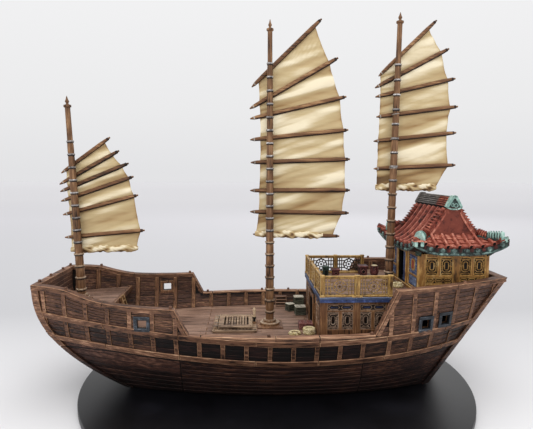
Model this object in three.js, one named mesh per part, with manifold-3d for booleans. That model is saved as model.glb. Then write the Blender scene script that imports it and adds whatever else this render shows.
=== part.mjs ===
// A painted tabletop model of a Chinese junk on a round black display base.
// Millimetres. +X points to the bow, +Y to port, +Z up, and the origin is under the middle of the ship.
// Inside the ship group, z = 0 is the flat underside of the hull; the group is moved to centre
// the ship's length.
import * as THREE from 'three';
import { mergeVertices } from 'three/addons/utils/BufferGeometryUtils.js';
import Module from 'manifold-3d';

const wasm = await Module();
wasm.setup();

// Driving dimensions
const gap = 0.3;                 // clearance between neighbouring pieces
const reach = 130;               // half width that is wider than the whole ship
const displayBase = { x: -7.6, radius: 238, height: 8, chamfer: 1.2 };
const shipX = 1.4;

// The hull's form: half breadths at the flat bottom and at the rail, and the profiles of stem and stern
const hull = {
  bottomHalf: 63.5, railHalf: 105.5, flareTop: 84, flarePower: 0.62,
  endHalfBottom: 36.8, endSpread: 0.16, midX: -10, forePower: 1.8, aftPower: 2.7,
  bowX: 270.3, stemRake: 101.3, stemHeight: 118, stemPower: 2.15,
  sternFootX: -191.5, sternSlope: 0.5985, wall: 4, top: 142, stations: 20,
};
const hullLevels = [0, 9, 20, 36, 54, 70, 86, 112];
const lowerHullTop = 56;
const deckTop = 62.5;
const upperDeckTop = 115.4;
const foredeck = { x: 190, top: 97, thick: 4 };
const seams = { lowerFore: 103, lowerAft: -99, upperFore: 79, upperAft: -48 };
const transomThickness = { bow: 6, stern: 7 };
const poop = { x: -137, thick: 4, bulkhead: 3 };

// Top of the rail in side view, from the bow aft
const railLine = [
  [278, 130], [250, 129.4], [230, 126.8], [215, 121.5], [199, 116.8], [182, 113.8], [160, 112.2],
  [133, 111.2], [107.5, 111], [92.5, 82.5], [-109, 82.5], [-132.5, 131], [-280, 136],
];
const cap = { thick: 4.4, out: 1.5, inn: 1.6 };
const rib = { width: 4.2, out: 1.3, inn: 1.4 };
const wale = { height: 5.6, out: 2 };
const foreRibs = [
  257.8, 232.5, 207.2, 181.9, 156.6, 131.3, 106, 80.7, 55.4, 30.1, 4.8, -20.5, -45.8, -71.1, -96.4,
];
const aftRibs = [-126.5, -152.5, -178.5, -205.5, -231, -257];

// Port and starboard windows in the bulwarks: centre, height of the frame and its widths
const windowFrame = { out: 2.2, side: 3.2 };
const windows = [
  { x: 142.8, z: 93.4, wide: 17.4, high: 16.4 },
  { x: -168.4, z: 90.2, wide: 17.4, high: 18 },
  { x: -193.6, z: 92.6, wide: 17, high: 18 },
];

const hatch = {
  aftX: 17.3, foreX: 71, halfY: 31, coamingTop: 66,
  lidTop: 69.2, lidAftX: 22.4, hingeX: 64.5, lidHalfY: 26,
};
const grating = { aftX: 27, foreX: 58, y: 18, slots: 9, slat: 1.6 };
const deckhouse = { foreX: -55.5, halfY: 62, wall: 3, top: 109.6, post: 5.6, doorHalf: 14, doorTop: 100 };
const roofDeck = { foreX: -53.7, halfY: 68.5, bottom: 109.9, top: 115.2 };
const railing = { foreX: -55.9, aftX: -134.3, halfY: 66.3, post: 4, top: 141.4, foot: 117.4, rail: 2.2 };
const pavilion = {
  foreX: -170.5, aftX: -254, halfY: 54, wall: 3, top: 163, sillTop: 120, doorHalf: 14, doorTop: 158,
};
const roof = {
  x: -212, halfX: 51, halfY: 70, flareX: 3.6, flareY: 4.4, ridgeZ: 229, eaveZ: 168.5, lift: 13,
  gableY: 47.5, gableBaseZ: 184, flatTop: 214.6, curve: 1.55, thick: 3.2, cells: 16,
};
const ridge = { halfY: 52.5, bottom: 215, top: 230.6, cap: 8 };

// Masts: foot on its deck, top, lean, radii, and the series of rings
const masts = {
  fore: {
    x: 234.7, foot: 97, top: 348.5, lean: 0.0459, footR: 5.3, topR: 3.1,
    ringZ: 110.9, ringStep: 14.6, ringGrow: 0.05, rings: 13, collarZ: 336.6,
  },
  main: {
    x: 0, foot: 62.5, top: 442, lean: 0.0035, footR: 5.4, topR: 2.9,
    ringZ: 80.7, ringStep: 14.5, ringGrow: 0.045, rings: 21, collarZ: 429.9,
  },
  mizzen: {
    x: -152.4, foot: 115.4, top: 453.2, lean: -0.0177, footR: 5.2, topR: 3.1,
    ringZ: 130.6, ringStep: 16.2, ringGrow: 0.07, rings: 16, collarZ: 441.6,
  },
};
const ringOut = 1.1;

// Sails: one row for each spar from the top down, with its fore and aft ends and how far the cloth
// stops short of them
const sails = {
  fore: {
    y: -9.2, yardR: 2.3, battenR: 2.5, spars: [
      { foreX: 258.5, foreZ: 254.8, aftX: 197.7, aftZ: 299.3, luff: 7, leech: 9 },
      { foreX: 261, foreZ: 241, aftX: 187, aftZ: 283, luff: 9.5, leech: 10 },
      { foreX: 260.5, foreZ: 232, aftX: 175.7, aftZ: 267.6, luff: 9, leech: 9 },
      { foreX: 260, foreZ: 220.1, aftX: 170, aftZ: 251.2, luff: 9, leech: 6.5 },
      { foreX: 258.2, foreZ: 203.2, aftX: 164.9, aftZ: 228.1, luff: 8, leech: 5.5 },
      { foreX: 256.8, foreZ: 174.9, aftX: 157.5, aftZ: 183.8, luff: 7.5, leech: 5.5 },
    ],
    foot: { foreX: 250, foreZ: 159.4, aftX: 167, aftZ: 161.2, radius: 4.6, clothAftX: 168, clothAftZ: 161.2 },
  },
  main: {
    y: -9.2, yardR: 2.5, battenR: 2.7, spars: [
      { foreX: 23.5, foreZ: 361.7, aftX: -62.6, aftZ: 445.4, luff: 12, leech: 11 },
      { foreX: 26, foreZ: 335.4, aftX: -83.8, aftZ: 398.9, luff: 14, leech: 12 },
      { foreX: 25.5, foreZ: 323.1, aftX: -95.1, aftZ: 351.7, luff: 13, leech: 8 },
      { foreX: 25.5, foreZ: 297.3, aftX: -98.3, aftZ: 310.6, luff: 13, leech: 5.5 },
      { foreX: 24.8, foreZ: 269.1, aftX: -101, aftZ: 274, luff: 12, leech: 5.5 },
      { foreX: 25.4, foreZ: 234.1, aftX: -101.8, aftZ: 234.8, luff: 11.5, leech: 5.5 },
      { foreX: 25.4, foreZ: 207.3, aftX: -100.9, aftZ: 205.7, luff: 11, leech: 8.5 },
    ],
    boom: { foreX: 21.7, foreZ: 178.4, aftX: -89.7, aftZ: 175.6 },
    foot: { foreX: 19, foreZ: 179.2, aftX: -68, aftZ: 177, radius: 4.8, clothAftX: -81.5, clothAftZ: 179.6 },
  },
  mizzen: {
    y: -9.2, yardR: 2.3, battenR: 2.6, spars: [
      { foreX: -134.9, foreZ: 376.9, aftX: -206.6, aftZ: 446.3, luff: 4, leech: 13 },
      { foreX: -130.6, foreZ: 362.6, aftX: -223.6, aftZ: 412.1, luff: 8, leech: 10 },
      { foreX: -131.3, foreZ: 351.5, aftX: -233.1, aftZ: 375.6, luff: 7, leech: 9 },
      { foreX: -133.1, foreZ: 326.9, aftX: -237.7, aftZ: 340.9, luff: 4.5, leech: 9 },
      { foreX: -130.5, foreZ: 296.6, aftX: -236.7, aftZ: 308.2, luff: 6, leech: 12 },
      { foreX: -131.4, foreZ: 262, aftX: -237.3, aftZ: 267.3, luff: 4.5, leech: 9 },
    ],
    foot: {
      foreX: -135.2, foreZ: 238.6, aftX: -213.6, aftZ: 238.8, radius: 5, clothAftX: -212.6, clothAftZ: 238.8,
    },
  },
};
const clothThickness = 1.6;

const rudder = {
  offset: 5, stockR: 2.2, bladeLow: 18, bladeHigh: 98, stockLow: 16, stockHigh: 128, chord: 11.5, thick: 2.6,
};
const gudgeons = [34, 74, 116];

// Finishes
const finish = (color, roughness = 0.75, metalness = 0) => (
  new THREE.MeshStandardMaterial({ color, roughness, metalness })
);
const darkWood = finish('#4a2f24');
const hullWood = finish('#5b3a2c');
const deckWood = finish('#8a6148');
const mastWood = finish('#7a5236');
const sparWood = finish('#6b4026');
const canvas = finish('#d9c9a0', 0.9);
const ochre = finish('#a5803c', 0.65);
const slateBlue = finish('#44506e', 0.7);
const terracotta = finish('#9c4a3c', 0.8);
const verdigris = finish('#6fae9f', 0.7);
const greyGreen = finish('#6a7062', 0.8);
const darkRed = finish('#6e2f2a', 0.7);
const ropeCream = finish('#cdbd93', 0.9);
const blackBoard = finish('#1b1b1d', 0.6);

// Solids from three.js geometry
const union = (solids) => solids.reduce((all, one) => all.add(one));

function solidOf(geometry) {
  const bare = geometry.clone();
  bare.deleteAttribute('normal');
  bare.deleteAttribute('uv');
  const merged = mergeVertices(bare, 1e-4);
  return new wasm.Manifold(new wasm.Mesh({
    numProp: 3,
    vertProperties: new Float32Array(merged.attributes.position.array),
    triVerts: new Uint32Array(merged.index.array),
  }));
}

function geometryOf(solid) {
  const mesh = solid.getMesh();
  const geometry = new THREE.BufferGeometry();
  const positions = new Float32Array((mesh.vertProperties.length / mesh.numProp) * 3);
  for (let i = 0; i < positions.length / 3; i += 1) {
    for (let k = 0; k < 3; k += 1) positions[i * 3 + k] = mesh.vertProperties[i * mesh.numProp + k];
  }
  geometry.setAttribute('position', new THREE.BufferAttribute(positions, 3));
  geometry.setIndex(new THREE.BufferAttribute(new Uint32Array(mesh.triVerts), 1));
  geometry.computeVertexNormals();
  return geometry;
}

function box(x0, x1, y0, y1, z0, z1) {
  const geometry = new THREE.BoxGeometry(Math.abs(x1 - x0), Math.abs(y1 - y0), Math.abs(z1 - z0));
  geometry.translate((x0 + x1) / 2, (y0 + y1) / 2, (z0 + z1) / 2);
  return solidOf(geometry);
}

function shapeOf(points) {
  return new THREE.Shape(points.map(([a, b]) => new THREE.Vector2(a, b)));
}

// A side view outline (x, z) given a thickness from y0 to y1
function sideShape(points, y0 = -reach, y1 = reach) {
  const geometry = new THREE.ExtrudeGeometry(shapeOf(points), { depth: y1 - y0, bevelEnabled: false });
  geometry.rotateX(Math.PI / 2);
  geometry.translate(0, y1, 0);
  return solidOf(geometry);
}

// A front view outline (y, z) given a thickness from x0 to x1
function frontShape(points, x0, x1) {
  const geometry = new THREE.ExtrudeGeometry(shapeOf(points), { depth: x1 - x0, bevelEnabled: false });
  geometry.rotateX(Math.PI / 2);
  geometry.rotateZ(Math.PI / 2);
  geometry.translate(x0, 0, 0);
  return solidOf(geometry);
}

// A plan outline (x, y) given a height from z0 to z1
function planShape(points, z0, z1) {
  const geometry = new THREE.ExtrudeGeometry(shapeOf(points), { depth: z1 - z0, bevelEnabled: false });
  geometry.translate(0, 0, z0);
  return solidOf(geometry);
}

// A body of revolution about Z through (x, y), from a profile of radius and height
function turned(profile, x, y, sides = 16) {
  const geometry = new THREE.LatheGeometry(profile.map(([r, z]) => new THREE.Vector2(r, z)), sides);
  geometry.rotateX(Math.PI / 2);
  geometry.translate(x, y, 0);
  return solidOf(geometry);
}

function regular(radius, sides, turn = 0) {
  return Array.from({ length: sides }, (_, i) => {
    const angle = turn + (i * 2 * Math.PI) / sides;
    return [radius * Math.cos(angle), radius * Math.sin(angle)];
  });
}

// A spar between two points of the plane y, thinner at both ends and less deep than high
function spar(fore, aft, y, radius, sides = 6, depth = 0.75) {
  const length = Math.hypot(fore[0] - aft[0], fore[1] - aft[1]);
  const half = length / 2;
  const profile = [
    [0, -half], [radius * 0.6, -half], [radius * 0.85, -half * 0.8], [radius, -half * 0.3],
    [radius, half * 0.3], [radius * 0.85, half * 0.8], [radius * 0.6, half], [0, half],
  ];
  const geometry = new THREE.LatheGeometry(profile.map(([r, z]) => new THREE.Vector2(r, z)), sides);
  geometry.rotateX(Math.PI / 2);
  geometry.scale(1, depth, 1);
  geometry.rotateY(Math.atan2(fore[0] - aft[0], fore[1] - aft[1]));
  geometry.translate((fore[0] + aft[0]) / 2, y, (fore[1] + aft[1]) / 2);
  return solidOf(geometry);
}

function faceted(vertices, triangles) {
  return new wasm.Manifold(new wasm.Mesh({
    numProp: 3,
    vertProperties: new Float32Array(vertices.flat()),
    triVerts: new Uint32Array(triangles.flat()),
  }));
}

// The scene graph
const junk = new THREE.Group();
const ship = new THREE.Group();
ship.position.set(shipX, 0, displayBase.height + gap);
junk.add(ship);

function place(name, solid, material, group = ship) {
  const mesh = new THREE.Mesh(geometryOf(solid), material);
  mesh.name = name;
  group.add(mesh);
}

// Hull form
const stemX = (z) => hull.bowX - hull.stemRake * Math.max(0, 1 - z / hull.stemHeight) ** hull.stemPower;
const sternX = (z) => hull.sternFootX - hull.sternSlope * z;

function halfBreadth(s, z) {
  const end = hull.endHalfBottom + hull.endSpread * z;
  const flare = Math.min(1, z / hull.flareTop) ** hull.flarePower;
  const middle = hull.bottomHalf + (hull.railHalf - hull.bottomHalf) * flare;
  const power = s > 0 ? hull.forePower : hull.aftPower;
  return end + (middle - end) * (1 - Math.abs(s) ** power);
}

function halfBreadthAt(x, z) {
  const end = x > hull.midX ? stemX(z) - hull.midX : hull.midX - sternX(z);
  const s = (x - hull.midX) / end;
  return halfBreadth(Math.max(-1, Math.min(1, s)), z);
}

// The hull as one solid between two levels, grown or shrunk by an offset
function hullSolid(offset, low, high) {
  const levels = [low, ...hullLevels.filter((z) => z > low + 1 && z < high - 1), high];
  const rows = hull.stations + 1;
  const vertices = [];
  for (let i = 0; i < rows; i += 1) {
    const s = -1 + (2 * i) / hull.stations;
    for (const side of [1, -1]) {
      for (const z of levels) {
        const end = s > 0 ? stemX(z) + offset : sternX(z) - offset * 1.16;
        const x = hull.midX + Math.abs(s) * (end - hull.midX);
        vertices.push([x, side * (halfBreadth(s, Math.max(0, z)) + offset), z]);
      }
    }
  }
  const n = levels.length;
  const port = (i, k) => i * 2 * n + k;
  const starboard = (i, k) => i * 2 * n + n + k;
  const triangles = [];
  const quad = (a, b, c, d) => triangles.push([a, b, c], [a, c, d]);
  for (let i = 0; i + 1 < rows; i += 1) {
    for (let k = 0; k + 1 < n; k += 1) {
      quad(port(i, k), port(i, k + 1), port(i + 1, k + 1), port(i + 1, k));
      quad(starboard(i, k), starboard(i + 1, k), starboard(i + 1, k + 1), starboard(i, k + 1));
    }
    quad(port(i, 0), port(i + 1, 0), starboard(i + 1, 0), starboard(i, 0));
    quad(port(i, n - 1), starboard(i, n - 1), starboard(i + 1, n - 1), port(i + 1, n - 1));
  }
  const last = rows - 1;
  for (let k = 0; k + 1 < n; k += 1) {
    quad(port(0, k), starboard(0, k), starboard(0, k + 1), port(0, k + 1));
    quad(port(last, k), port(last, k + 1), starboard(last, k + 1), starboard(last, k));
  }
  return faceted(vertices, triangles);
}

// Heights of the two wales' upper edges
const sheer = (x, low, fore, aft) => {
  const away = x + 20;
  const rise = away > 0 ? fore : aft;
  return low + rise * (Math.abs(away) / 260) ** 1.5;
};
const wale1Top = (x) => sheer(x, 77, 19.5, 13);
const wale2Top = (x) => sheer(x, 52, 18, 12);

function waleBand(topAt) {
  const xs = Array.from({ length: 21 }, (_, i) => 285 - i * 28.5);
  const upper = xs.map((x) => [x, topAt(x)]);
  const lower = xs.map((x) => [x, topAt(x) - wale.height]).reverse();
  return sideShape([...upper, ...lower]);
}

// The rail line moved down square to itself
function railOffset(distance) {
  return railLine.map(([x, z], i) => {
    const before = railLine[Math.max(0, i - 1)];
    const after = railLine[Math.min(railLine.length - 1, i + 1)];
    const normalOf = (a, b) => {
      const length = Math.hypot(b[0] - a[0], b[1] - a[1]);
      return [-(b[1] - a[1]) / length, (b[0] - a[0]) / length];
    };
    const one = normalOf(i ? before : [x, z], i ? [x, z] : after);
    const two = normalOf(i < railLine.length - 1 ? [x, z] : before, i < railLine.length - 1 ? after : [x, z]);
    const sum = [one[0] + two[0], one[1] + two[1]];
    const scale = 2 / (sum[0] ** 2 + sum[1] ** 2);
    return [x + distance * sum[0] * scale, z + distance * sum[1] * scale];
  });
}

const aboveRail = sideShape([...railLine, [-300, 170], [300, 170]]);
const railBand = sideShape([...railLine, ...railOffset(cap.thick).reverse()]);

// Outer form with wales, frames, rail cap and window frames
const outerRibs = [...foreRibs, ...aftRibs];
const hullBottom = hullSolid(0, 0, hull.top);
const grown = (offset) => hullSolid(offset, 0, hull.top);
const ribGrown = grown(rib.out);
const waleGrown = grown(wale.out);
const ribSlab = (x, z0, z1) => box(x - rib.width / 2, x + rib.width / 2, -reach, reach, z0, z1);
const ribSlabs = union(outerRibs.map((x) => ribSlab(x, wale2Top(x) - 1, hull.top)));
const windowBlock = ({ x, z, wide, high }, side) => (
  box(x - wide / 2 + side, x + wide / 2 - side, -reach, reach, z - high / 2 + side, z + high / 2 - side)
);
const frameBlocks = union(windows.map((opening) => windowBlock(opening, 0)));
const frameHoles = union(windows.map((opening) => windowBlock(opening, windowFrame.side)));
const outer = union([
  hullBottom,
  ribSlabs.intersect(ribGrown),
  waleBand(wale1Top).intersect(waleGrown),
  waleBand(wale2Top).intersect(waleGrown),
  frameBlocks.intersect(grown(windowFrame.out)),
  railBand.intersect(grown(cap.out)),
]).subtract(aboveRail);

const aboveLower = box(-reach * 3, reach * 3, -reach, reach, lowerHullTop + gap, hull.top + 5);
const belowSeam = box(-reach * 3, reach * 3, -reach, reach, -5, lowerHullTop);

// Inside of the bulwarks: the frames show above each deck
const innerRibSlabs = union([
  ...foreRibs.map((x) => ribSlab(x, (x > foredeck.x ? foredeck.top : deckTop) + gap, hull.top)),
  ...aftRibs.map((x) => ribSlab(x, (x > poop.x ? deckTop : upperDeckTop) + gap, hull.top)),
].filter((_, i) => outerRibs[i] > -60 || outerRibs[i] < -120));
const cavityTop = hull.top + 2;
const cavity = hullSolid(-hull.wall, lowerHullTop - 2, cavityTop)
  .subtract(innerRibSlabs)
  .subtract(railBand)
  .add(hullSolid(-hull.wall - rib.inn, lowerHullTop - 2, cavityTop));
const upperShell = outer.intersect(aboveLower).subtract(cavity).subtract(frameHoles);

// Regions of the two transoms
const regionLevels = [-6, 0, 10, 20, 30, 43, 56, 70, 84, 100, 118, 150];
const bowRegion = (inset) => (
  sideShape([...regionLevels.map((z) => [stemX(z) - inset, z]), [330, 150], [330, -6]])
);
const sternRegion = (inset) => (
  sideShape([[sternX(-6) + inset, -6], [sternX(150) + inset, 150], [-330, 150], [-330, -6]])
);
const between = (x0, x1) => box(x0, x1, -reach, reach, -10, 160);

const bulwarks = upperShell
  .subtract(bowRegion(transomThickness.bow + gap))
  .subtract(sternRegion(transomThickness.stern + gap));
const sections = [
  { name: 'fore', from: seams.upperFore + gap / 2, to: 300 },
  { name: 'mid', from: seams.upperAft + gap / 2, to: seams.upperFore - gap / 2 },
  { name: 'aft', from: -300, to: seams.upperAft - gap / 2 },
];
const halves = [
  { name: 'port', low: 1, high: reach },
  { name: 'starboard', low: -reach, high: -1 },
];
for (const { name, from, to } of sections) {
  for (const side of halves) {
    const piece = bulwarks.intersect(box(from, to, side.low, side.high, 0, 160));
    place(`bulwark_${side.name}_${name}`, piece, hullWood);
  }
}

// Rudder hardware, set square to the raked stern
const rakeAngle = Math.atan(hull.sternSlope);
const alongStern = (s, off) => [
  hull.sternFootX - s * Math.sin(rakeAngle) - off * Math.cos(rakeAngle),
  s * Math.cos(rakeAngle) - off * Math.sin(rakeAngle),
];
const sternQuad = (s0, s1, off0, off1) => [
  alongStern(s0, off0), alongStern(s0, off1), alongStern(s1, off1), alongStern(s1, off0),
];
function stockSolid(radius, s0, s1, sides) {
  const geometry = new THREE.CylinderGeometry(radius, radius, s1 - s0, sides);
  geometry.rotateX(Math.PI / 2);
  geometry.rotateY(-rakeAngle);
  const [x, z] = alongStern((s0 + s1) / 2, rudder.offset);
  geometry.translate(x, 0, z);
  return solidOf(geometry);
}
const gudgeonHalf = 2;
const gudgeonSide = (s) => sternQuad(s - gudgeonHalf, s + gudgeonHalf, -1, rudder.offset + 3.4);
const gudgeonSolids = gudgeons.map((s) => sideShape(gudgeonSide(s), -3.6, 3.6)
  .subtract(stockSolid(rudder.stockR + gap, s - 6, s + 6, 12)));
const [lowGudgeon, ...highGudgeons] = gudgeonSolids;

place('bow_transom', upperShell.intersect(bowRegion(transomThickness.bow)), darkWood);
const sternBoard = upperShell.intersect(sternRegion(transomThickness.stern));
place('stern_transom', union([sternBoard, ...highGudgeons]), darkWood);

const lowerHull = outer.intersect(belowSeam);
place('lower_hull_fore', lowerHull.intersect(between(seams.lowerFore + gap / 2, 300)), darkWood);
const lowerMid = lowerHull.intersect(between(seams.lowerAft + gap / 2, seams.lowerFore - gap / 2));
const lowerAft = lowerHull.intersect(between(-300, seams.lowerAft - gap / 2));
place('lower_hull_mid', lowerMid, darkWood);
place('lower_hull_aft', union([lowerAft, lowGudgeon]), darkWood);

const notchSide = (s) => (
  sternQuad(s - gudgeonHalf - 1, s + gudgeonHalf + 1, rudder.offset - 6, rudder.offset + 6)
);
const rudderNotches = union(gudgeons.map((s) => sideShape(notchSide(s), -5, 5)));
const bladeSide = sternQuad(rudder.bladeLow, rudder.bladeHigh, rudder.offset, rudder.offset + rudder.chord);
const rudderBlade = sideShape(bladeSide, -rudder.thick / 2, rudder.thick / 2)
  .subtract(rudderNotches);
const rudderStock = stockSolid(rudder.stockR, rudder.stockLow, rudder.stockHigh, 12);
place('rudder', union([rudderBlade, rudderStock]), darkWood);

// A mast step: a square plate, a ring and a collar, bored for the mast's foot
function mastStep(mast, plate, ringR, collarR) {
  const floor = mast.foot;
  const bore = mast.footR + gap;
  const base = box(mast.x - plate, mast.x + plate, -plate, plate, floor - 0.5, floor + 1.6);
  const ringTop = [[ringR, floor + 4], [ringR - 1, floor + 5], [0, floor + 5]];
  const ringProfile = [[0, floor], [ringR, floor], ...ringTop];
  const ring = turned(ringProfile, mast.x, 0, 16);
  const collarProfile = [[0, floor], [collarR, floor], [collarR, floor + 8.2], [0, floor + 8.2]];
  const collar = turned(collarProfile, mast.x, 0, 16);
  const holeProfile = [[0, floor + 1.2], [bore, floor + 1.2], [bore, floor + 20], [0, floor + 20]];
  const hole = leaning(turned(holeProfile, 0, 0, 16), mast);
  return union([base, ring, collar]).subtract(hole);
}

// Decks fit between the bulwarks
const deckForm = (low, high) => hullSolid(-hull.wall - gap, low, high);
const mainDeck = deckForm(lowerHullTop + gap, deckTop)
  .subtract(bowRegion(transomThickness.bow + gap))
  .subtract(sternRegion(transomThickness.stern + gap));
for (const { name, from, to } of sections) {
  const section = mainDeck.intersect(between(from, to));
  const solid = name === 'mid' ? section.add(mastStep(masts.main, 16, 12.6, 8)) : section;
  place(`main_deck_${name}`, solid, deckWood);
}

const foredeckSlab = deckForm(foredeck.top - foredeck.thick, foredeck.top)
  .intersect(between(foredeck.x, 300))
  .subtract(bowRegion(transomThickness.bow + gap));
const edgeBoard = deckForm(foredeck.top - foredeck.thick - 1.5, foredeck.top + 1.6)
  .intersect(between(foredeck.x, foredeck.x + 2.6));
place('foredeck', union([foredeckSlab, edgeBoard, mastStep(masts.fore, 10, 9, 7.2)]), deckWood);

const poopSlab = deckForm(upperDeckTop - poop.thick, upperDeckTop)
  .intersect(between(-300, poop.x))
  .subtract(sternRegion(transomThickness.stern + gap));
const poopBulkhead = deckForm(deckTop + gap, upperDeckTop).intersect(between(poop.x - poop.bulkhead, poop.x));
place('poop_deck', union([poopSlab, poopBulkhead, mastStep(masts.mizzen, 9, 8.6, 7)]), deckWood);

// Ladder from the main deck up to the foredeck
const ladderFoot = [176, deckTop + gap];
const ladderHead = [187.5, foredeck.top + 2.5];
function ladderQuad(t0, t1, width) {
  const lean = Math.hypot(ladderHead[0] - ladderFoot[0], ladderHead[1] - ladderFoot[1]);
  const run = ladderHead[0] - ladderFoot[0];
  const rise = ladderHead[1] - ladderFoot[1];
  const across = [width * rise / lean, -width * run / lean];
  const at = (t) => [ladderFoot[0] + t * run, ladderFoot[1] + t * rise];
  const [a, b] = [at(t0), at(t1)];
  return [a, [a[0] + across[0], a[1] + across[1]], [b[0] + across[0], b[1] + across[1]], b];
}
const ladderFloor = box(100, 260, -40, 40, 0, deckTop + gap);
const ladderParts = [
  sideShape(ladderQuad(-0.05, 1, 2.4), -14.2, -12.4),
  sideShape(ladderQuad(-0.05, 1, 2.4), -3.6, -1.8),
  ...[0.13, 0.3, 0.47, 0.64, 0.81].map((t) => sideShape(ladderQuad(t, t + 0.045, 1.9), -13, -3)),
];
const foredeckLip = box(foredeck.x - gap, 260, -40, 40, 80, 110);
place('foredeck_ladder', union(ladderParts).subtract(ladderFloor).subtract(foredeckLip), mastWood);

// Hatch, its grating lid, the hook post beside it, and the steps on the far bulwark
const coaming = box(hatch.aftX, hatch.foreX, -hatch.halfY, hatch.halfY, deckTop + gap, hatch.coamingTop)
  .subtract(box(26, 60, -20, 20, 0, 100));
const hingeStrip = box(
  hatch.hingeX + gap + 1.2, hatch.foreX - 1.5,
  -hatch.lidHalfY, hatch.lidHalfY, hatch.coamingTop - 0.5, hatch.lidTop,
);
const postFoot = hatch.coamingTop - 0.5;
const postProfile = [[0, postFoot], [2, postFoot], [1.5, 71], [1.3, 80], [1.9, 83], [1.2, 86], [0, 86]];
const hookPost = turned(postProfile, 19.8, 3, 8);
place('hatch_coaming', union([coaming, hingeStrip, hookPost]), deckWood);
const gratingStep = (grating.foreX - grating.aftX) / grating.slots;
const gratingHoles = Array.from({ length: grating.slots }, (_, i) => {
  const x = grating.aftX + i * gratingStep;
  return box(x + grating.slat / 2, x + gratingStep - grating.slat / 2, -grating.y, grating.y, 0, 100);
});
const lid = box(
  hatch.lidAftX, hatch.hingeX, -hatch.lidHalfY, hatch.lidHalfY, hatch.coamingTop + gap, hatch.lidTop,
);
place('hatch_grating', lid.subtract(union(gratingHoles)), deckWood);

const stepWall = halfBreadthAt(-21, deckTop) - hull.wall - rib.inn - 4 * gap;
const stepTread = (i, low) => box(-29, -13, -stepWall, -stepWall + 6 + (3 - i) * 1.6, low, low + 2);
const stepTreads = [0, 1, 2, 3].map((i) => stepTread(i, deckTop + gap + i * 4));
const stepStile = (x) => box(x, x + 1.6, -stepWall, -stepWall + 6, deckTop + gap, deckTop + gap + 14);
const stepStiles = [-29, -14.6].map(stepStile);
place('bulwark_steps', union([...stepTreads, ...stepStiles]), deckWood);

// Masts with their rings, collar and pointed head, leaning as they stand
function mastSolid(mast) {
  const foot = mast.foot + 1.2 + gap;
  const radiusAt = (z) => mast.footR + (mast.topR - mast.footR) * ((z - foot) / (mast.top - foot));
  const profile = [[0, foot], [radiusAt(foot), foot]];
  for (let i = 0; i < mast.rings; i += 1) {
    const z = mast.ringZ + i * mast.ringStep + i * i * mast.ringGrow;
    profile.push([radiusAt(z), z - 1.3], [radiusAt(z) + ringOut, z], [radiusAt(z), z + 1.3]);
  }
  const z = mast.collarZ;
  profile.push([mast.topR, z - 2.4], [mast.topR + 1.5, z - 1.6]);
  profile.push([mast.topR + 1.5, z + 0.4], [mast.topR * 0.7, z + 1.4]);
  profile.push([mast.topR * 0.7, mast.top - 4.5], [mast.topR * 0.9, mast.top - 3.4], [0, mast.top]);
  const solid = turned(profile, 0, 0, 8);
  return solid;
}

function leaning(geometrySolid, mast) {
  const geometry = geometryOf(geometrySolid);
  geometry.translate(0, 0, -mast.foot);
  geometry.rotateY(mast.lean);
  geometry.translate(mast.x, 0, mast.foot);
  return solidOf(geometry);
}

// Sail cloth with its battens; the cloth's edges run from spar to spar
function sailCloth(sail) {
  const along = (row, inset, fromFore) => {
    const length = Math.hypot(row.foreX - row.aftX, row.foreZ - row.aftZ);
    const t = fromFore ? inset / length : 1 - inset / length;
    return [row.foreX + t * (row.aftX - row.foreX), row.foreZ + t * (row.aftZ - row.foreZ)];
  };
  const luff = sail.spars.map((row) => along(row, row.luff, true));
  const leech = sail.spars.map((row) => along(row, row.leech, false));
  const foot = sail.foot;
  const low = [[foot.foreX - 1, foot.foreZ], [foot.clothAftX, foot.clothAftZ]];
  const outline = [...luff, ...low, ...leech.reverse()];
  return sideShape(outline, sail.y - clothThickness / 2, sail.y + clothThickness / 2);
}

for (const [name, mast] of Object.entries(masts)) {
  place(`${name}_mast`, leaning(mastSolid(mast), mast), mastWood);
  const sail = sails[name];
  const battenY = sail.y + clothThickness / 2 + sail.battenR * 0.54;
  const [yardRow, ...battenRows] = sail.spars;
  const { foreX, foreZ, aftX, aftZ, radius } = sail.foot;
  const roll = spar([foreX, foreZ], [aftX, aftZ], sail.y + 0.2, radius, 8);
  const along = (row, thick) => spar([row.foreX, row.foreZ], [row.aftX, row.aftZ], battenY, thick);
  const battens = battenRows.map((row) => along(row, sail.battenR));
  const yard = spar([yardRow.foreX, yardRow.foreZ], [yardRow.aftX, yardRow.aftZ], battenY, sail.yardR);
  const rooms = [along(yardRow, sail.yardR + gap * 1.4)];
  if (sail.boom) {
    const { foreX, foreZ, aftX, aftZ } = sail.boom;
    place(`${name}_boom`, spar([foreX, foreZ], [aftX, aftZ], sail.y + 0.2, sail.yardR), sparWood);
    rooms.push(spar([foreX, foreZ], [aftX, aftZ], sail.y + 0.2, sail.yardR + gap * 1.4));
  }
  place(`${name}_sail`, union([sailCloth(sail), roll, ...battens]).subtract(union(rooms)), canvas);
  place(`${name}_yard`, yard, sparWood);
}

// Deckhouse: front and two sides, closed aft by the poop bulkhead
function latticeSlots(x0, x1, z0, z1, count) {
  const step = (x1 - x0) / count;
  return Array.from({ length: count }, (_, i) => {
    const middle = x0 + (i + 0.5) * step;
    return [middle - 1.8, middle + 1.8, z0, z1];
  });
}
const houseFloor = deckTop + gap;
const houseAft = poop.x + gap;
const bayMid = (deckhouse.foreX + houseAft) / 2;
const houseRoomY = deckhouse.halfY - deckhouse.wall;
const houseBlock = box(
  houseAft, deckhouse.foreX, -deckhouse.halfY, deckhouse.halfY, houseFloor, deckhouse.top,
);
const houseShell = houseBlock
  .subtract(box(houseAft - 5, deckhouse.foreX - deckhouse.wall, -houseRoomY, houseRoomY, 0, 200));
const sidePanels = [];
const sideSlots = [];
const houseBays = [
  [houseAft + deckhouse.post, bayMid - deckhouse.post / 2],
  [bayMid + deckhouse.post / 2, deckhouse.foreX - deckhouse.post],
];
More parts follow.
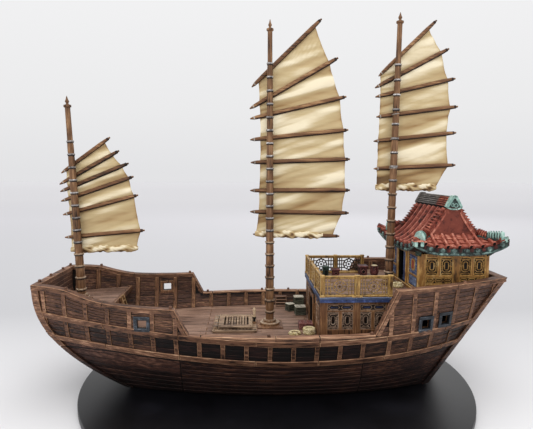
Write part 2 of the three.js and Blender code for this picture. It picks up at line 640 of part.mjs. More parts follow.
for (const [x0, x1] of houseBays) {
  for (const side of [1, -1]) {
    const face = side * deckhouse.halfY;
    sidePanels.push(box(x0, x1, face - side * 0.9, face + side * 3, houseFloor + 5, deckhouse.top - 3));
    for (const [a, b, c, d] of latticeSlots(x0, x1, 83.6, 90.4, 2)) {
      sideSlots.push(box(a, b, face - side * 8, face + side * 3, c, d));
    }
  }
}
const panelEndY = deckhouse.halfY - deckhouse.post;
const frontPanel = (y0, y1) => (
  box(deckhouse.foreX - 0.9, deckhouse.foreX + 3, y0, y1, houseFloor + 5, deckhouse.top - 3)
);
const frontPanels = [1, -1].map((side) => frontPanel(side * 24, side * panelEndY));
const doorFrame = box(deckhouse.foreX - 1, deckhouse.foreX + 2, -20, 20, houseFloor, 104.5);
const doorway = box(
  deckhouse.foreX - 10, deckhouse.foreX + 5, -deckhouse.doorHalf, deckhouse.doorHalf, 0, deckhouse.doorTop,
);
const cutShell = houseShell.subtract(union([...sidePanels, ...sideSlots, ...frontPanels]));
place('deckhouse_walls', union([cutShell, doorFrame]).subtract(doorway), deckWood);

const roofSlab = box(
  poop.x + gap, roofDeck.foreX, -roofDeck.halfY, roofDeck.halfY, roofDeck.bottom, roofDeck.top,
);
place('deckhouse_roof', roofSlab, slateBlue);

// Openwork railing on three sides of the deckhouse roof
function railingBay(from, to, make) {
  const parts = [];
  const width = to - from;
  const middle = (from + to) / 2;
  const low = railing.foot;
  const high = railing.top - 0.6;
  const centre = (low + high) / 2;
  parts.push(make(from, to, low, low + railing.rail), make(from, to, high - railing.rail, high));
  for (const side of [-1, 1]) {
    parts.push(make(middle + side * width * 0.27 - 0.7, middle + side * width * 0.27 + 0.7, low, high));
    parts.push(make(from, to, centre + side * 4.4 - 0.7, centre + side * 4.4 + 0.7));
  }
  return parts;
}
const railParts = [];
const halfPost = railing.post / 2;
const railPost = (x, y) => (
  box(x - halfPost, x + halfPost, y - halfPost, y + halfPost, roofDeck.top + gap, railing.top)
);
const midRailX = (railing.foreX + railing.aftX) / 2;
for (const side of [1, -1]) {
  const y = side * railing.halfY;
  const alongX = (a, b, c, d) => box(a, b, y - 0.8, y + 0.8, c, d);
  railParts.push(...railingBay(railing.aftX, midRailX, alongX));
  railParts.push(...railingBay(midRailX, railing.foreX, alongX));
  for (const x of [railing.foreX, midRailX, railing.aftX]) {
    railParts.push(railPost(x, y));
  }
}
const frontPosts = [-railing.halfY, -22.1, 22.1, railing.halfY];
const alongY = (a, b, c, d) => box(railing.foreX - 0.8, railing.foreX + 0.8, a, b, c, d);
for (let i = 0; i < 3; i += 1) railParts.push(...railingBay(frontPosts[i], frontPosts[i + 1], alongY));
for (const y of frontPosts.slice(1, 3)) {
  railParts.push(railPost(railing.foreX, y));
}
place('roof_railing', union(railParts), ochre);

// Pavilion on the poop
const pavilionFloor = upperDeckTop + gap;
const p = pavilion;
const pavilionShell = box(p.aftX, p.foreX, -p.halfY, p.halfY, pavilionFloor, p.top)
  .subtract(box(p.aftX + p.wall, p.foreX - p.wall, -p.halfY + p.wall, p.halfY - p.wall, 0, 300));
const pavilionPanels = [];
const pavilionSlots = [];
const pavilionMid = (p.foreX + p.aftX) / 2;
for (const [x0, x1] of [[p.aftX + 5, pavilionMid - 3.5], [pavilionMid + 3.5, p.foreX - 5.5]]) {
  for (const side of [1, -1]) {
    const face = side * p.halfY;
    pavilionPanels.push(box(x0, x1, face - side * 0.9, face + side * 3, 122, 161));
    for (const [a, b, c, d] of latticeSlots(x0, x1, 144.7, 152.6, 2)) {
      pavilionSlots.push(box(a, b, face - side * 8, face + side * 3, c, d));
    }
  }
}
const frontPavilionPanels = [1, -1].map((side) => (
  box(p.foreX - 0.9, p.foreX + 3, side * 22, side * (p.halfY - 5), 122, 161)
));
const sill = box(p.foreX - 2, p.foreX + 1.6, -p.halfY, p.halfY, pavilionFloor, p.sillTop);
const pavilionDoorway = box(p.foreX - 10, p.foreX + 5, -p.doorHalf, p.doorHalf, p.sillTop, p.doorTop);
const bulwarkRoom = box(-300, -100, -reach, reach, 0, 138)
  .subtract(hullSolid(-hull.wall - rib.inn - gap, 60, 140));
const sternRoom = sternRegion(transomThickness.stern + gap).intersect(box(-400, 0, -reach, reach, 0, 138));
const pavilionCuts = union([...pavilionPanels, ...pavilionSlots, ...frontPavilionPanels]);
const pavilionWalls = union([pavilionShell.subtract(pavilionCuts), sill])
  .subtract(union([pavilionDoorway, bulwarkRoom, sternRoom]));
place('pavilion_walls', pavilionWalls, ochre);
const doorLeaf = { hingeY: p.doorHalf - 1.6, x: p.foreX - 1.5 };
const pinLow = p.sillTop + gap;
const pinHigh = p.doorTop - gap;
const pinProfile = [[0, pinLow], [1.1, pinLow], [1.1, pinHigh], [0, pinHigh]];
place('pavilion_door', union([
  box(doorLeaf.x - 0.8, doorLeaf.x + 0.8, 0.4, doorLeaf.hingeY, p.sillTop + gap, p.doorTop - gap),
  turned(pinProfile, doorLeaf.x, doorLeaf.hingeY, 8),
]), slateBlue);

// Hip and gable roof as one grid of heights, its corners drawn out and up
function roofSolid() {
  const n = roof.cells;
  const topHeight = (u, v) => {
    const alongSlope = Math.min(1, Math.abs(u));
    const y = Math.abs(v) * roof.halfY;
    let z = roof.eaveZ + (roof.ridgeZ - roof.eaveZ) * (1 - alongSlope) ** roof.curve;
    if (y > roof.gableY) {
      const t = (y - roof.gableY) / (roof.halfY - roof.gableY);
      z = Math.min(z, roof.gableBaseZ + (roof.eaveZ - roof.gableBaseZ) * t ** 0.8);
    }
    return Math.min(z, roof.flatTop);
  };
  const lift = (u, v) => roof.lift * (Math.abs(u) * Math.abs(v)) ** 3.5;
  const vs = Array.from({ length: n + 1 }, (_, j) => -1 + (2 * j) / n);
  const gableV = roof.gableY / roof.halfY;
  const gableColumns = [-gableV - 0.006, -gableV, gableV, gableV + 0.006];
  const plainColumns = vs.filter((v) => Math.abs(Math.abs(v) - gableV) > 0.03);
  const columns = [...plainColumns, ...gableColumns].sort((a, b) => a - b);
  const rows = Array.from({ length: n + 1 }, (_, i) => -1 + (2 * i) / n);
  const vertices = [];
  for (const bottom of [false, true]) {
    for (const u of rows) {
      for (const v of columns) {
        const x = roof.x + u * (roof.halfX + roof.flareX * Math.abs(v) ** 4);
        const y = v * (roof.halfY + roof.flareY * Math.abs(u) ** 4);
        const under = Math.max(Math.abs(u) * 1.0, Math.abs(v));
        const eave = roof.eaveZ - roof.thick + lift(u, v);
        const low = Math.min(eave, Math.max(pavilion.top + gap, eave - (1 - under) * 12));
        const z = bottom ? low : topHeight(u, v) + lift(u, v);
        vertices.push([x, y, z]);
      }
    }
  }
  const m = columns.length;
  const at = (layer, i, j) => layer * rows.length * m + i * m + j;
  const triangles = [];
  const quad = (a, b, c, d) => triangles.push([a, b, c], [a, c, d]);
  const [lastI, lastJ] = [rows.length - 1, m - 1];
  for (let i = 0; i < lastI; i += 1) {
    for (let j = 0; j < lastJ; j += 1) {
      quad(at(0, i, j), at(0, i + 1, j), at(0, i + 1, j + 1), at(0, i, j + 1));
      quad(at(1, i, j), at(1, i, j + 1), at(1, i + 1, j + 1), at(1, i + 1, j));
    }
    quad(at(0, i, 0), at(1, i, 0), at(1, i + 1, 0), at(0, i + 1, 0));
    quad(at(0, i, lastJ), at(0, i + 1, lastJ), at(1, i + 1, lastJ), at(1, i, lastJ));
  }
  for (let j = 0; j < lastJ; j += 1) {
    quad(at(0, 0, j), at(0, 0, j + 1), at(1, 0, j + 1), at(1, 0, j));
    quad(at(0, lastI, j), at(1, lastI, j), at(1, lastI, j + 1), at(0, lastI, j + 1));
  }
  return faceted(vertices, triangles);
}
const hipBlocks = [];
for (const sx of [1, -1]) {
  for (const sy of [1, -1]) {
    const roll = new THREE.CylinderGeometry(3.6, 3.6, 17, 8);
    roll.rotateZ(Math.PI / 2);
    roll.translate(0, 0, 5);
    const body = new THREE.BoxGeometry(16, 5.2, 14);
    body.translate(0, 0, -2);
    for (const geometry of [roll, body]) {
      geometry.rotateZ(sy * sx * Math.atan2(10, 16));
      geometry.translate(roof.x + sx * 41, sy * 59, 179);
      hipBlocks.push(solidOf(geometry));
    }
  }
}
const roofBase = roofSolid();
place('pavilion_roof', union([roofBase, ...hipBlocks]), terracotta);

const ridgeSide = (low, high, top) => [
  [roof.x - low, ridge.bottom], [roof.x + low, ridge.bottom], [roof.x + high, top], [roof.x - high, top],
];
const ridgeBeam = sideShape(ridgeSide(9, 2.4, ridge.top - 1.2), -ridge.halfY + 2, ridge.halfY - 2);
const ridgeCaps = [1, -1].map((side) => {
  const [a, b] = [side * (ridge.halfY - ridge.cap), side * ridge.halfY].sort((one, two) => one - two);
  return sideShape(ridgeSide(10, 2, ridge.top), a, b);
});
place('roof_ridge', union([ridgeBeam, ...ridgeCaps]), verdigris);

// Deck gear
function crate(name, x, y, wide, deep, high, turn) {
  const geometry = new THREE.BoxGeometry(wide, deep, high);
  geometry.rotateZ(turn);
  geometry.translate(x, y, deckTop + gap + high / 2);
  place(name, solidOf(geometry), greyGreen);
}
crate('crate_small', -32, -62, 10.5, 10.5, 10.5, 0.45);
crate('crate_low', -44.2, -45, 14.4, 13.6, 11.4, 0.04);
crate('crate_tall', -46.5, -85, 14.4, 13.6, 14.6, 0);
place('red_chest', union([
  box(-52.6, -35.6, 8, 21, deckTop + gap, deckTop + gap + 7.4),
  box(-52.9, -35.3, 7.6, 21.4, deckTop + gap + 5, deckTop + gap + 8.6),
]), darkRed);

function ropeCoil(name, x, y, floor, outerR, innerR, high, sides) {
  const outside = [[outerR, floor], [outerR + 0.4, floor + high * 0.5], [outerR - 0.8, floor + high]];
  const points = [...outside, [innerR, floor + high], [innerR, floor], [outerR, floor]];
  place(name, turned(points, x, y, sides), ropeCream);
}
ropeCoil('rope_coil_flat', -28.4, 36.5, deckTop + gap, 7.4, 3.6, 3.2, 9);
ropeCoil('rope_coil_stack', -46.4, 34.5, deckTop + gap, 8.2, 3.6, 7.2, 9);
ropeCoil('rope_coil_poop', -158.6, 18.5, upperDeckTop + gap, 7.6, 3, 5.6, 9);

const roofFloor = roofDeck.top + gap;
place('green_stool', union([
  box(-84.5, -74.5, -54, -44, roofFloor + 8, roofFloor + 13),
  box(-83, -76, -52.5, -45.5, roofFloor, roofFloor + 9),
]), greyGreen);
place('red_stool', union([
  box(-99, -87.5, -54, -43, roofFloor + 7.4, roofFloor + 9.6),
  box(-97.6, -88.9, -52.6, -44.4, roofFloor, roofFloor + 7.8),
]), darkRed);
place('low_table', union([
  box(-139, -123.6, -52, -38, roofFloor + 13, roofFloor + 15),
  box(-137.4, -125.2, -50.4, -39.6, roofFloor, roofFloor + 13.4),
]).intersect(box(-136.5, 0, -90, 90, 0, 200)), darkRed);
const drumProfile = [[0, 0], [4.6, 0], [5.8, 6], [5, 13], [4, 14.6], [0, 14.6]]
  .map(([radius, high]) => [radius, pavilionFloor + high]);
place('drum_stool', turned(drumProfile, -146.4, -46, 10), darkRed);

// Display base
place('display_base', turned([
  [0, 0], [displayBase.radius - displayBase.chamfer, 0], [displayBase.radius, displayBase.chamfer],
  [displayBase.radius, displayBase.height - displayBase.chamfer],
  [displayBase.radius - displayBase.chamfer, displayBase.height],
  [0, displayBase.height],
], displayBase.x, 0, 72), blackBoard, junk);

export default junk;
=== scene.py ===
import math
import random

import bmesh
import bpy
from mathutils import Matrix, Vector, noise


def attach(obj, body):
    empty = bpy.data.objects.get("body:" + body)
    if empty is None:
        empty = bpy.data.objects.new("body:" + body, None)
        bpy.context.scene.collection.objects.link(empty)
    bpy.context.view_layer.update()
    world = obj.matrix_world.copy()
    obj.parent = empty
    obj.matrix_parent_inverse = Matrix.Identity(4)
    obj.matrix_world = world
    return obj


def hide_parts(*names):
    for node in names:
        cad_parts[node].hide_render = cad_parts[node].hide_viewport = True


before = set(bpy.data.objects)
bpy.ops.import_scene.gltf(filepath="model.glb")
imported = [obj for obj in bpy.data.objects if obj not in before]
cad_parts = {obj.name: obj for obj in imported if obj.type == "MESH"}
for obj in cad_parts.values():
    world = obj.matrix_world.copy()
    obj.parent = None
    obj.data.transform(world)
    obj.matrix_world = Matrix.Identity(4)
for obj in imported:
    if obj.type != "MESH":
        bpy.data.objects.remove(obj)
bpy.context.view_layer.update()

# A painted tabletop model of a Chinese junk on a round black board.
# Shapes are worked out in millimetres in the ship's own axes: +X bow, +Y port, and z = 0 at the hull's
# flat underside.
shipOrigin = Vector((1.4, 0, 8.3))
toFrame = Matrix.Scale(0.001, 4) @ Matrix.Translation(shipOrigin)
dice = random.Random(7)


# Colours and nodes
def hexColour(code):
    channels = [int(code[i:i + 2], 16) / 255 for i in (1, 3, 5)]
    linear = [c / 12.92 if c <= 0.04045 else ((c + 0.055) / 1.055) ** 2.4 for c in channels]
    return (*linear, 1)


def addNode(tree, kind, settings=None):
    # A setting is an input or a property: a socket is linked to its input, and stops fill a colour ramp
    node = tree.nodes.new(kind)
    for key, value in (settings or {}).items():
        if key == "stops":
            elements = node.color_ramp.elements
            for _ in value[2:]:
                elements.new(0.5)
            for element, (position, code) in zip(elements, value):
                element.position = position
                element.color = hexColour(code)
        elif isinstance(value, bpy.types.NodeSocket):
            tree.links.new(value, node.inputs[key])
        elif isinstance(key, int) or key in node.inputs:
            node.inputs[key].default_value = value
        else:
            setattr(node, key, value)
    return node


def startMaterial(name, roughness, ior):
    material = bpy.data.materials.new(name)
    material.use_nodes = True
    shader = material.node_tree.nodes["Principled BSDF"]
    shader.inputs["Roughness"].default_value = roughness
    shader.inputs["IOR"].default_value = ior
    return material, material.node_tree, shader


def stretchedNoise(tree, sizeMm, detail, roughness, shift=(0, 0, 0)):
    # sizeMm: how long one blotch or brush mark is along X, Y and Z
    place = addNode(tree, "ShaderNodeTexCoord").outputs["Object"]
    settings = {"Scale": tuple(1000 / size for size in sizeMm), "Location": shift, "Vector": place}
    mapping = addNode(tree, "ShaderNodeMapping", settings).outputs["Vector"]
    settings = {"Scale": 1.0, "Detail": detail, "Roughness": roughness, "Vector": mapping}
    return addNode(tree, "ShaderNodeTexNoise", settings).outputs["Fac"]


def addShares(tree, start, shares):
    # A start value plus each pattern times its share
    for source, share in shares:
        settings = {"operation": "MULTIPLY_ADD", 0: source, 1: share, 2: start}
        start = addNode(tree, "ShaderNodeMath", settings).outputs[0]
    return start


def colourAndRelief(tree, shader, shade, stops, relief, depthMm, strength):
    ramp = addNode(tree, "ShaderNodeValToRGB", {"Fac": shade, "stops": stops})
    settings = {"Strength": strength, "Distance": depthMm / 1000, "Height": relief}
    bump = addNode(tree, "ShaderNodeBump", settings)
    tree.links.new(ramp.outputs["Color"], shader.inputs["Base Color"])
    tree.links.new(bump.outputs["Normal"], shader.inputs["Normal"])


def washedPaint(name, wash, body, brush, grainMm, roughness=0.62, toneReach=0.045, depthMm=0.25):
    # Acrylic on a print: body colour, a dark wash in the brush marks, and a paler brush over what stands
    # proud. Its IOR of 1.49 is lowered to 1.38, because the wash and the print's layers take the sheen away
    material, tree, shader = startMaterial(name, roughness, 1.38)
    grain = stretchedNoise(tree, grainMm if isinstance(grainMm, tuple) else (grainMm,) * 3, 5.0, 0.62)
    cloud = stretchedNoise(tree, (46, 31, 24), 2.0, 0.5, (3.1, 1.7, 0.4))
    tone = addNode(tree, "ShaderNodeAttribute", {"attribute_name": "tone"}).outputs["Fac"]
    shade = addShares(tree, 0.0, ((grain, 0.72), (cloud, 0.28), (tone, toneReach)))
    stops = [(0.395, wash), (0.475, body), (0.535, body), (0.65, brush)]
    colourAndRelief(tree, shader, shade, stops, grain, depthMm, 0.6)
    return material


def sailPaintAndPaintedShade():
    # Matt cream acrylic. The shade attribute gives it a golden-brown wash with painted shade in the creases,
    # a painted shadow under the battens and painted highlights on the folds
    material, tree, shader = startMaterial("creamSailPaintAndShade", 0.82, 1.5)
    shade = addNode(tree, "ShaderNodeAttribute", {"attribute_name": "shade"}).outputs["Fac"]
    streak = stretchedNoise(tree, (42, 5, 4), 4.0, 0.6)
    blot = stretchedNoise(tree, (30, 16, 12), 3.0, 0.5, (5, 2, 8))
    mixed = addShares(tree, -0.21, ((shade, 1.0), (streak, 0.22), (blot, 0.2)))
    stops = [(0.02, "#5f452a"), (0.22, "#9c7c50"), (0.4, "#b89f74"), (0.56, "#c8b388"), (0.84, "#f1e4c5")]
    # The print's layers, 0.2 mm on the model, are drawn about 1 mm high so that they show
    layers = stretchedNoise(tree, (0.9, 0.9, 1.6), 3.0, 0.6)
    colourAndRelief(tree, shader, mixed, stops, layers, 0.18, 0.35)
    return material


# Each paint's name, wash, body and brush colours, its brush marks in mm along X, Y and Z or the same all
# ways, and its roughness. Real brush marks are about 0.2 mm wide; they are drawn 1.5 mm or wider, to show.
lengthwise, upright = (34, 1.5, 1.5), (1.5, 1.5, 30)
paints = {
    # Matt umber acrylic with black in its grain and a tan dry brush: brown planks with worn, paler lips
    "hull": ("umberHullPaint", "#190d09", "#4a3025", "#805a43", lengthwise),
    "hullEdge": ("tanDryBrush", "#4a3026", "#77563f", "#a98265", (16, 2, 2), 0.66),
    # The same with maroon and more black, and with painted shade: the bottom looks almost black against the
    # sides, and so does the band between the wales along the waist
    "hullLow": ("maroonUmberPaint", "#090404", "#22110f", "#573829", lengthwise),
    "hullLowEdge": ("maroonUmberDryBrush", "#130806", "#3a221b", "#6b4a3b", (16, 2, 2), 0.66),
    # Thinned black ink pooled between planks, and painted shadow beside the ribs and under the lower wale:
    # dark lines with no sheen
    "groove": ("grooveWash", "#0a0605", "#150d0b", "#221512", 12, 0.8),
    # Umber acrylic rubbed paler than the planks: rails and wales that stand out from them
    "rail": ("railUmberPaint", "#2a180f", "#664634", "#a67d62", (26, 3, 3), 0.64),
    "railEdge": ("railDryBrush", "#6b4a36", "#9b7457", "#cca785", (16, 2, 2), 0.66),
    # Tan acrylic, long thin marks: scrubbed deck planks, and browner bare boards on the hatch
    "deck": ("tanDeckPaint", "#3a261c", "#7d6050", "#a98a76", (42, 1.8, 1.8), 0.66),
    "deckEdge": ("deckDryBrush", "#6a4c3c", "#937259", "#bd9c84", (20, 2, 2), 0.66),
    "hatchWood": ("hatchTanPaint", "#372519", "#866c56", "#b59a7c", (16, 3, 3), 0.66),
    "hatchEdge": ("hatchDryBrush", "#745b45", "#a78d70", "#d3bb9b", (16, 3, 3), 0.66),
    # Umber acrylic brushed up and down: the frames' warm grain across the planks
    "frame": ("frameUmberPaint", "#321e13", "#6d4a33", "#a37c58", upright),
    "frameEdge": ("frameDryBrush", "#5b3f2c", "#8f6b4c", "#bd9872", upright),
    # Satin brown acrylic: smooth round masts with a soft light down them
    "mast": ("mastBrownPaint", "#24150d", "#6c4c32", "#9a7553", (2.6, 2.6, 26), 0.58),
    # Gunmetal acrylic on the rings: a painted highlight on the grey over a black line of painted shadow, and
    # tan where they are worn
    "mastRing": ("ringGunmetalBrush", "#4a4645", "#8c8785", "#d6d2cf", 3, 0.42),
    "mastBand": ("ringTanPaint", "#544234", "#927962", "#c4b096", 4, 0.55),
    "mastShadow": ("gunmetalShadowPaint", "#0f0b0a", "#2a211d", "#54483f", 3, 0.6),
    # Satin brown acrylic on the spars, with ends of matt grey, dark caps on their blunt ends, and painted
    # shade almost black beneath them
    "spar": ("sparBrownPaint", "#3f2817", "#704c30", "#a67f58", lengthwise, 0.58),
    "sparUnder": ("sparUnderWash", "#120a06", "#2a1810", "#4a3022", lengthwise, 0.66),
    "sparTip": ("sparTipGreyPaint", "#6a645e", "#9c958d", "#cbc5bd", 3, 0.5),
    # Ochre acrylic, satin over a brown wash: the pavilion's dull gold joinery, and a dark copy of it as
    # painted shade on the railing's inboard faces
    "gold": ("ochreGoldPaint", "#4c3216", "#8b6130", "#bf9556", (4, 4, 12), 0.5),
    "goldEdge": ("ochreGoldDryBrush", "#7d582b", "#b68c4c", "#dfbf85", (4, 4, 8), 0.5),
    "goldInPaintedShade": ("ochreBrownWash", "#130c07", "#302110", "#5c4321", 4),
    # A yellower ochre: the roof railing reads lighter than the walls
    "railGold": ("yellowOchrePaint", "#48331a", "#8e6c3a", "#c9a467", (4, 4, 12), 0.5),
    "railGoldEdge": ("yellowOchreDryBrush", "#866633", "#c29d5a", "#eed597", (4, 4, 8), 0.5),
    # Chestnut acrylic brushed upright: the deckhouse's posts and rails, with lattice in pale tan
    "houseWood": ("houseBrownPaint", "#1c1009", "#68442a", "#a1774f", upright),
    "houseEdge": ("houseDryBrush", "#5a3a24", "#8c6443", "#bb946c", (3, 3, 6)),
    "lattice": ("latticeTanPaint", "#4c392c", "#8d7461", "#bca48e", 3),
    # Near-black wash with painted shade: what lies behind lattice and carving, as dark as open space
    "panelGround": ("panelGroundWash", "#080605", "#17110d", "#32261c", 5, 0.72),
    # Slate-blue acrylic, chalky on the edges: the deckhouse's roof and its fascia
    "slate": ("slateBluePaint", "#1c2132", "#414d69", "#7d8aa2", (18, 18, 3), 0.6),
    "slateEdge": ("slateBlueDryBrush", "#4a5470", "#76819c", "#a9b3c6", (12, 12, 3)),
    # Strong cobalt and orange-red acrylic: the panels' small spots of colour
    "blueDeep": ("cobaltPanelPaint", "#0e1226", "#2b385f", "#53659a", 5, 0.6),
    "redPanel": ("orangeRedPanelPaint", "#4a1510", "#93382a", "#c0664c", 3, 0.6),
    # Charcoal acrylic with a grey brush: the windows' frames look like slate
    "windowFrame": ("slateFramePaint", "#0e1013", "#272b31", "#50565e", 5),
    "windowEdge": ("slateFrameDryBrush", "#1e2226", "#42474e", "#747a82", 6),
    # Terracotta acrylic, pink on the crests and almost black in the pans: rows of fired clay tiles. Beneath
    # them and between the red hip rings, a dark wash with painted shade
    "tile": ("terracottaTilePaint", "#34110a", "#7d3a2d", "#b56b55", 6, 0.6),
    "tilePan": ("terracottaPanPaint", "#120504", "#3f1611", "#703329", 6, 0.66),
    "tileEdge": ("terracottaDryBrush", "#74342a", "#9d5544", "#cb8a75", 4),
    "tileGroove": ("tileGrooveWash", "#0e0505", "#2a1211", "#4d2621", 6, 0.7),
    "gable": ("gableRedPaint", "#4e2018", "#723528", "#8f4b3a", 9),
    # Grey-green acrylic, satin: ornaments like weathered bronze, whole, rubbed to black and in shadow
    "verdigris": ("verdigrisPaint", "#3b4743", "#7c9c93", "#a9c8be", 5, 0.56),
    "verdigrisWorn": ("wornVerdigrisPaint", "#1d2322", "#4d5f5b", "#8caaa2", 5, 0.58),
    "verdigrisDark": ("verdigrisShadowWash", "#111514", "#28332f", "#54706a", 5, 0.6),
    # Warm grey acrylic: the roof's ridge looks like unglazed clay
    "ridge": ("ridgeGreyPaint", "#1c1613", "#4d4743", "#7d7770", (14, 14, 3)),
    "ridgeEdge": ("ridgeGreyDryBrush", "#3a3531", "#68625c", "#958e86", (14, 14, 3)),
    # Dark olive acrylic with cream dragged over the top: dull crates with light lids
    "crate": ("crateOlivePaint", "#11110d", "#37382d", "#686856", (12, 2, 2), 0.66),
    "crateEdge": ("crateDryBrush", "#33332a", "#5f5f4f", "#92917c", 5, 0.66),
    "crateTop": ("crateTopCreamBrush", "#6f685a", "#aaa392", "#ddd6c7", 5, 0.66),
    # Oxblood acrylic, pinkish where it is brushed: chest, stool and table like old lacquer
    "red": ("oxbloodPaint", "#1a0a0a", "#4c2424", "#875450", (8, 3, 3), 0.58),
    "redEdge": ("oxbloodDryBrush", "#4f2725", "#84504a", "#b58478", 5, 0.6),
    # Cream acrylic with a brown wash in the lay, and painted shade on the sides of each turn: coils that look
    # like hemp
    "rope": ("ropeCreamPaint", "#a8935f", "#dccda2", "#f4ecd0", 4, 0.75),
    "ropeLay": ("ropeLayWash", "#5c4b2c", "#9c875a", "#c6b384", 4, 0.8),
    # Bottle-green and cream acrylic, satin: the small stools' seats
    "green": ("bottleGreenPaint", "#060c0a", "#15241d", "#3a564b", 5, 0.5),
    "greenEdge": ("bottleGreenDryBrush", "#172922", "#30453b", "#5f776a", 4, 0.52),
    "cream": ("creamTopPaint", "#7c6a48", "#c9b98f", "#eee4c6", 5, 0.6),
    # Straw-coloured dry brush: the ladder's rails and rungs catch the light
    "ladderEdge": ("ladderDryBrush", "#7c5f3f", "#b0905f", "#d8bd8a", 4, 0.6),
    # Satin black paint on fibreboard: an even black disc with a soft sheen and no grain
    "blackBoard": ("satinBlackBoardPaint", "#050508", "#0b0b0f", "#15151a", 60, 0.38, 0, 0.02),
    # Near black that gives nothing back: dark nail heads and joints, and painted shade in holes, slots and
    # gaps and under things
    "blackPaintAndShade": ("unpaintedInside", "#050403", "#0d0908", "#17100d", 20, 0.85),
}
finish = {key: washedPaint(*row) for key, row in paints.items()}
finish["sail"] = sailPaintAndPaintedShade()
print("finishes ready:", len(finish))


# Mesh tools: every piece is a bmesh in the ship's millimetres
def landPiece(name, bm, slots, body="ship", replaces=(), smoothDegrees=34):
    bmesh.ops.recalc_face_normals(bm, faces=bm.faces)
    bm.transform(toFrame)
    mesh = bpy.data.meshes.new(name)
    bm.to_mesh(mesh)
    bm.free()
    for key in slots:
        mesh.materials.append(finish[key])
    piece = bpy.data.objects.new(name, mesh)
    bpy.context.scene.collection.objects.link(piece)
    mesh.shade_smooth()
    mesh.set_sharp_from_angle(angle=math.radians(smoothDegrees))
    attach(piece, body)
    if replaces:
        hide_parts(*replaces)
    return piece


def newBm():
    bm = bmesh.new()
    bm.faces.layers.float.new("tone")
    return bm


def facesOf(verts):
    return {f for vert in verts for f in vert.link_faces}


def vertsOf(faces):
    return {vert for f in faces for vert in f.verts}


def edgesOf(faces):
    return {e for f in faces for e in f.edges}


def about(middle, half):
    return (middle - half, middle + half)


def sideSpan(side, near, far):
    # Limits given for port, the same or mirrored to starboard
    return tuple(sorted((side * near, side * far)))


def turnTo(run):
    # Turns the upright to a direction
    return Vector(run).normalized().to_track_quat("Z", "Y").to_matrix().to_4x4()


def paintFaces(bm, faces, material=0, tone=0.0):
    layer = bm.faces.layers.float["tone"]
    for face in faces:
        face.material_index = material
        face[layer] = tone


def chamfer(bm, edges, width, material, tone):
    cut = bmesh.ops.bevel(
        bm, geom=list(edges), offset=width, segments=1, affect="EDGES", profile=0.5, material=-1,
    )
    paintFaces(bm, cut["faces"], material, tone)
    return vertsOf(cut["faces"])


def board(bm, place, u, v, w=(0.0, 1.0), steps=1, across=1, lip=0.3, tone=None, paint=(0, 1)):
    # A board over a surface: place(u, v, w) gives a point, w is the height over the surface, lip the chamfer,
    # tone how pale it is and paint the material slots of its faces and of its chamfer
    tone = dice.uniform(-1, 1) if tone is None else tone
    verts = set(bmesh.ops.create_grid(bm, x_segments=steps, y_segments=across, size=1.0)["verts"])
    reach = max(vert.co.x for vert in verts)
    layer = facesOf(verts)
    for vert in verts:
        vert.co /= reach
    # Level 0 is the underside, 1 the chamfer's foot and 2 the face
    for level in (1, 2):
        grown = bmesh.ops.extrude_face_region(bm, geom=[*layer, *edgesOf(layer)], use_keep_orig=level == 1)
        verts = {vert for vert in verts if vert.is_valid}
        for item in grown["geom"]:
            if isinstance(item, bmesh.types.BMVert):
                item.co.z = level
                verts.add(item)
        layer = {item for item in grown["geom"] if isinstance(item, bmesh.types.BMFace)}
    for f in facesOf(verts):
        isChamfer = {round(vert.co.z) for vert in f.verts} == {1, 2}
        paintFaces(bm, [f], paint[1] if isChamfer else paint[0], tone)
    uMiddle, uHalf = (u[0] + u[1]) / 2, (u[1] - u[0]) / 2
    vMiddle, vHalf = (v[0] + v[1]) / 2, (v[1] - v[0]) / 2
    lip = min(lip, 0.45 * abs(w[1] - w[0]), 0.4 * abs(uHalf), 0.4 * abs(vHalf))
    heights = (w[0], w[1] - math.copysign(lip, w[1] - w[0]), w[1])
    for vert in verts:
        level = round(vert.co.z)
        shrinkU, shrinkV = (1 - lip / abs(uHalf), 1 - lip / abs(vHalf)) if level == 2 else (1, 1)
        a = uMiddle + vert.co.x * shrinkU * uHalf
        b = vMiddle + vert.co.y * shrinkV * vHalf
        vert.co = place(a, b, heights[level])


def flat(z):
    return lambda u, v, w: Vector((u, v, z + w))


def block(bm, x, y, z, lip=0.35, tone=None, paint=(0, 1)):
    # A chamfered block between limits in x, y and z
    tone = dice.uniform(-1, 1) if tone is None else tone
    verts = bmesh.ops.create_cube(bm, size=1.0)["verts"]
    size = Vector([abs(high - low) for low, high in (x, y, z)])
    middle = Vector([(low + high) / 2 for low, high in (x, y, z)])
    bmesh.ops.scale(bm, vec=size, verts=verts)
    bmesh.ops.translate(bm, vec=middle, verts=verts)
    faces = facesOf(verts)
    paintFaces(bm, faces, paint[0], tone)
    if lip > 0:
        verts = chamfer(bm, edgesOf(faces), min(lip, min(size) * 0.35), paint[1], tone)
    return verts


def bar(bm, start, end, wide, deep, up=(0, 0, 1), lip=0.12, tone=None, paint=(0, 1)):
    # A square bar between two points; wide is measured along up, deep across it
    start, end = Vector(start), Vector(end)
    along = (end - start).normalized()
    side = along.cross(Vector(up)).normalized()
    rise = side.cross(along).normalized()
    verts = block(bm, (-0.5, 0.5), (-0.5, 0.5), (-0.5, 0.5), 0, tone, paint)
    basis = Matrix((along * (end - start).length, side * deep, rise * wide)).transposed()
    for vert in verts:
        vert.co = (start + end) / 2 + basis @ vert.co
    chamfer(bm, edgesOf(facesOf(verts)), lip, paint[1], 0.0 if tone is None else tone)


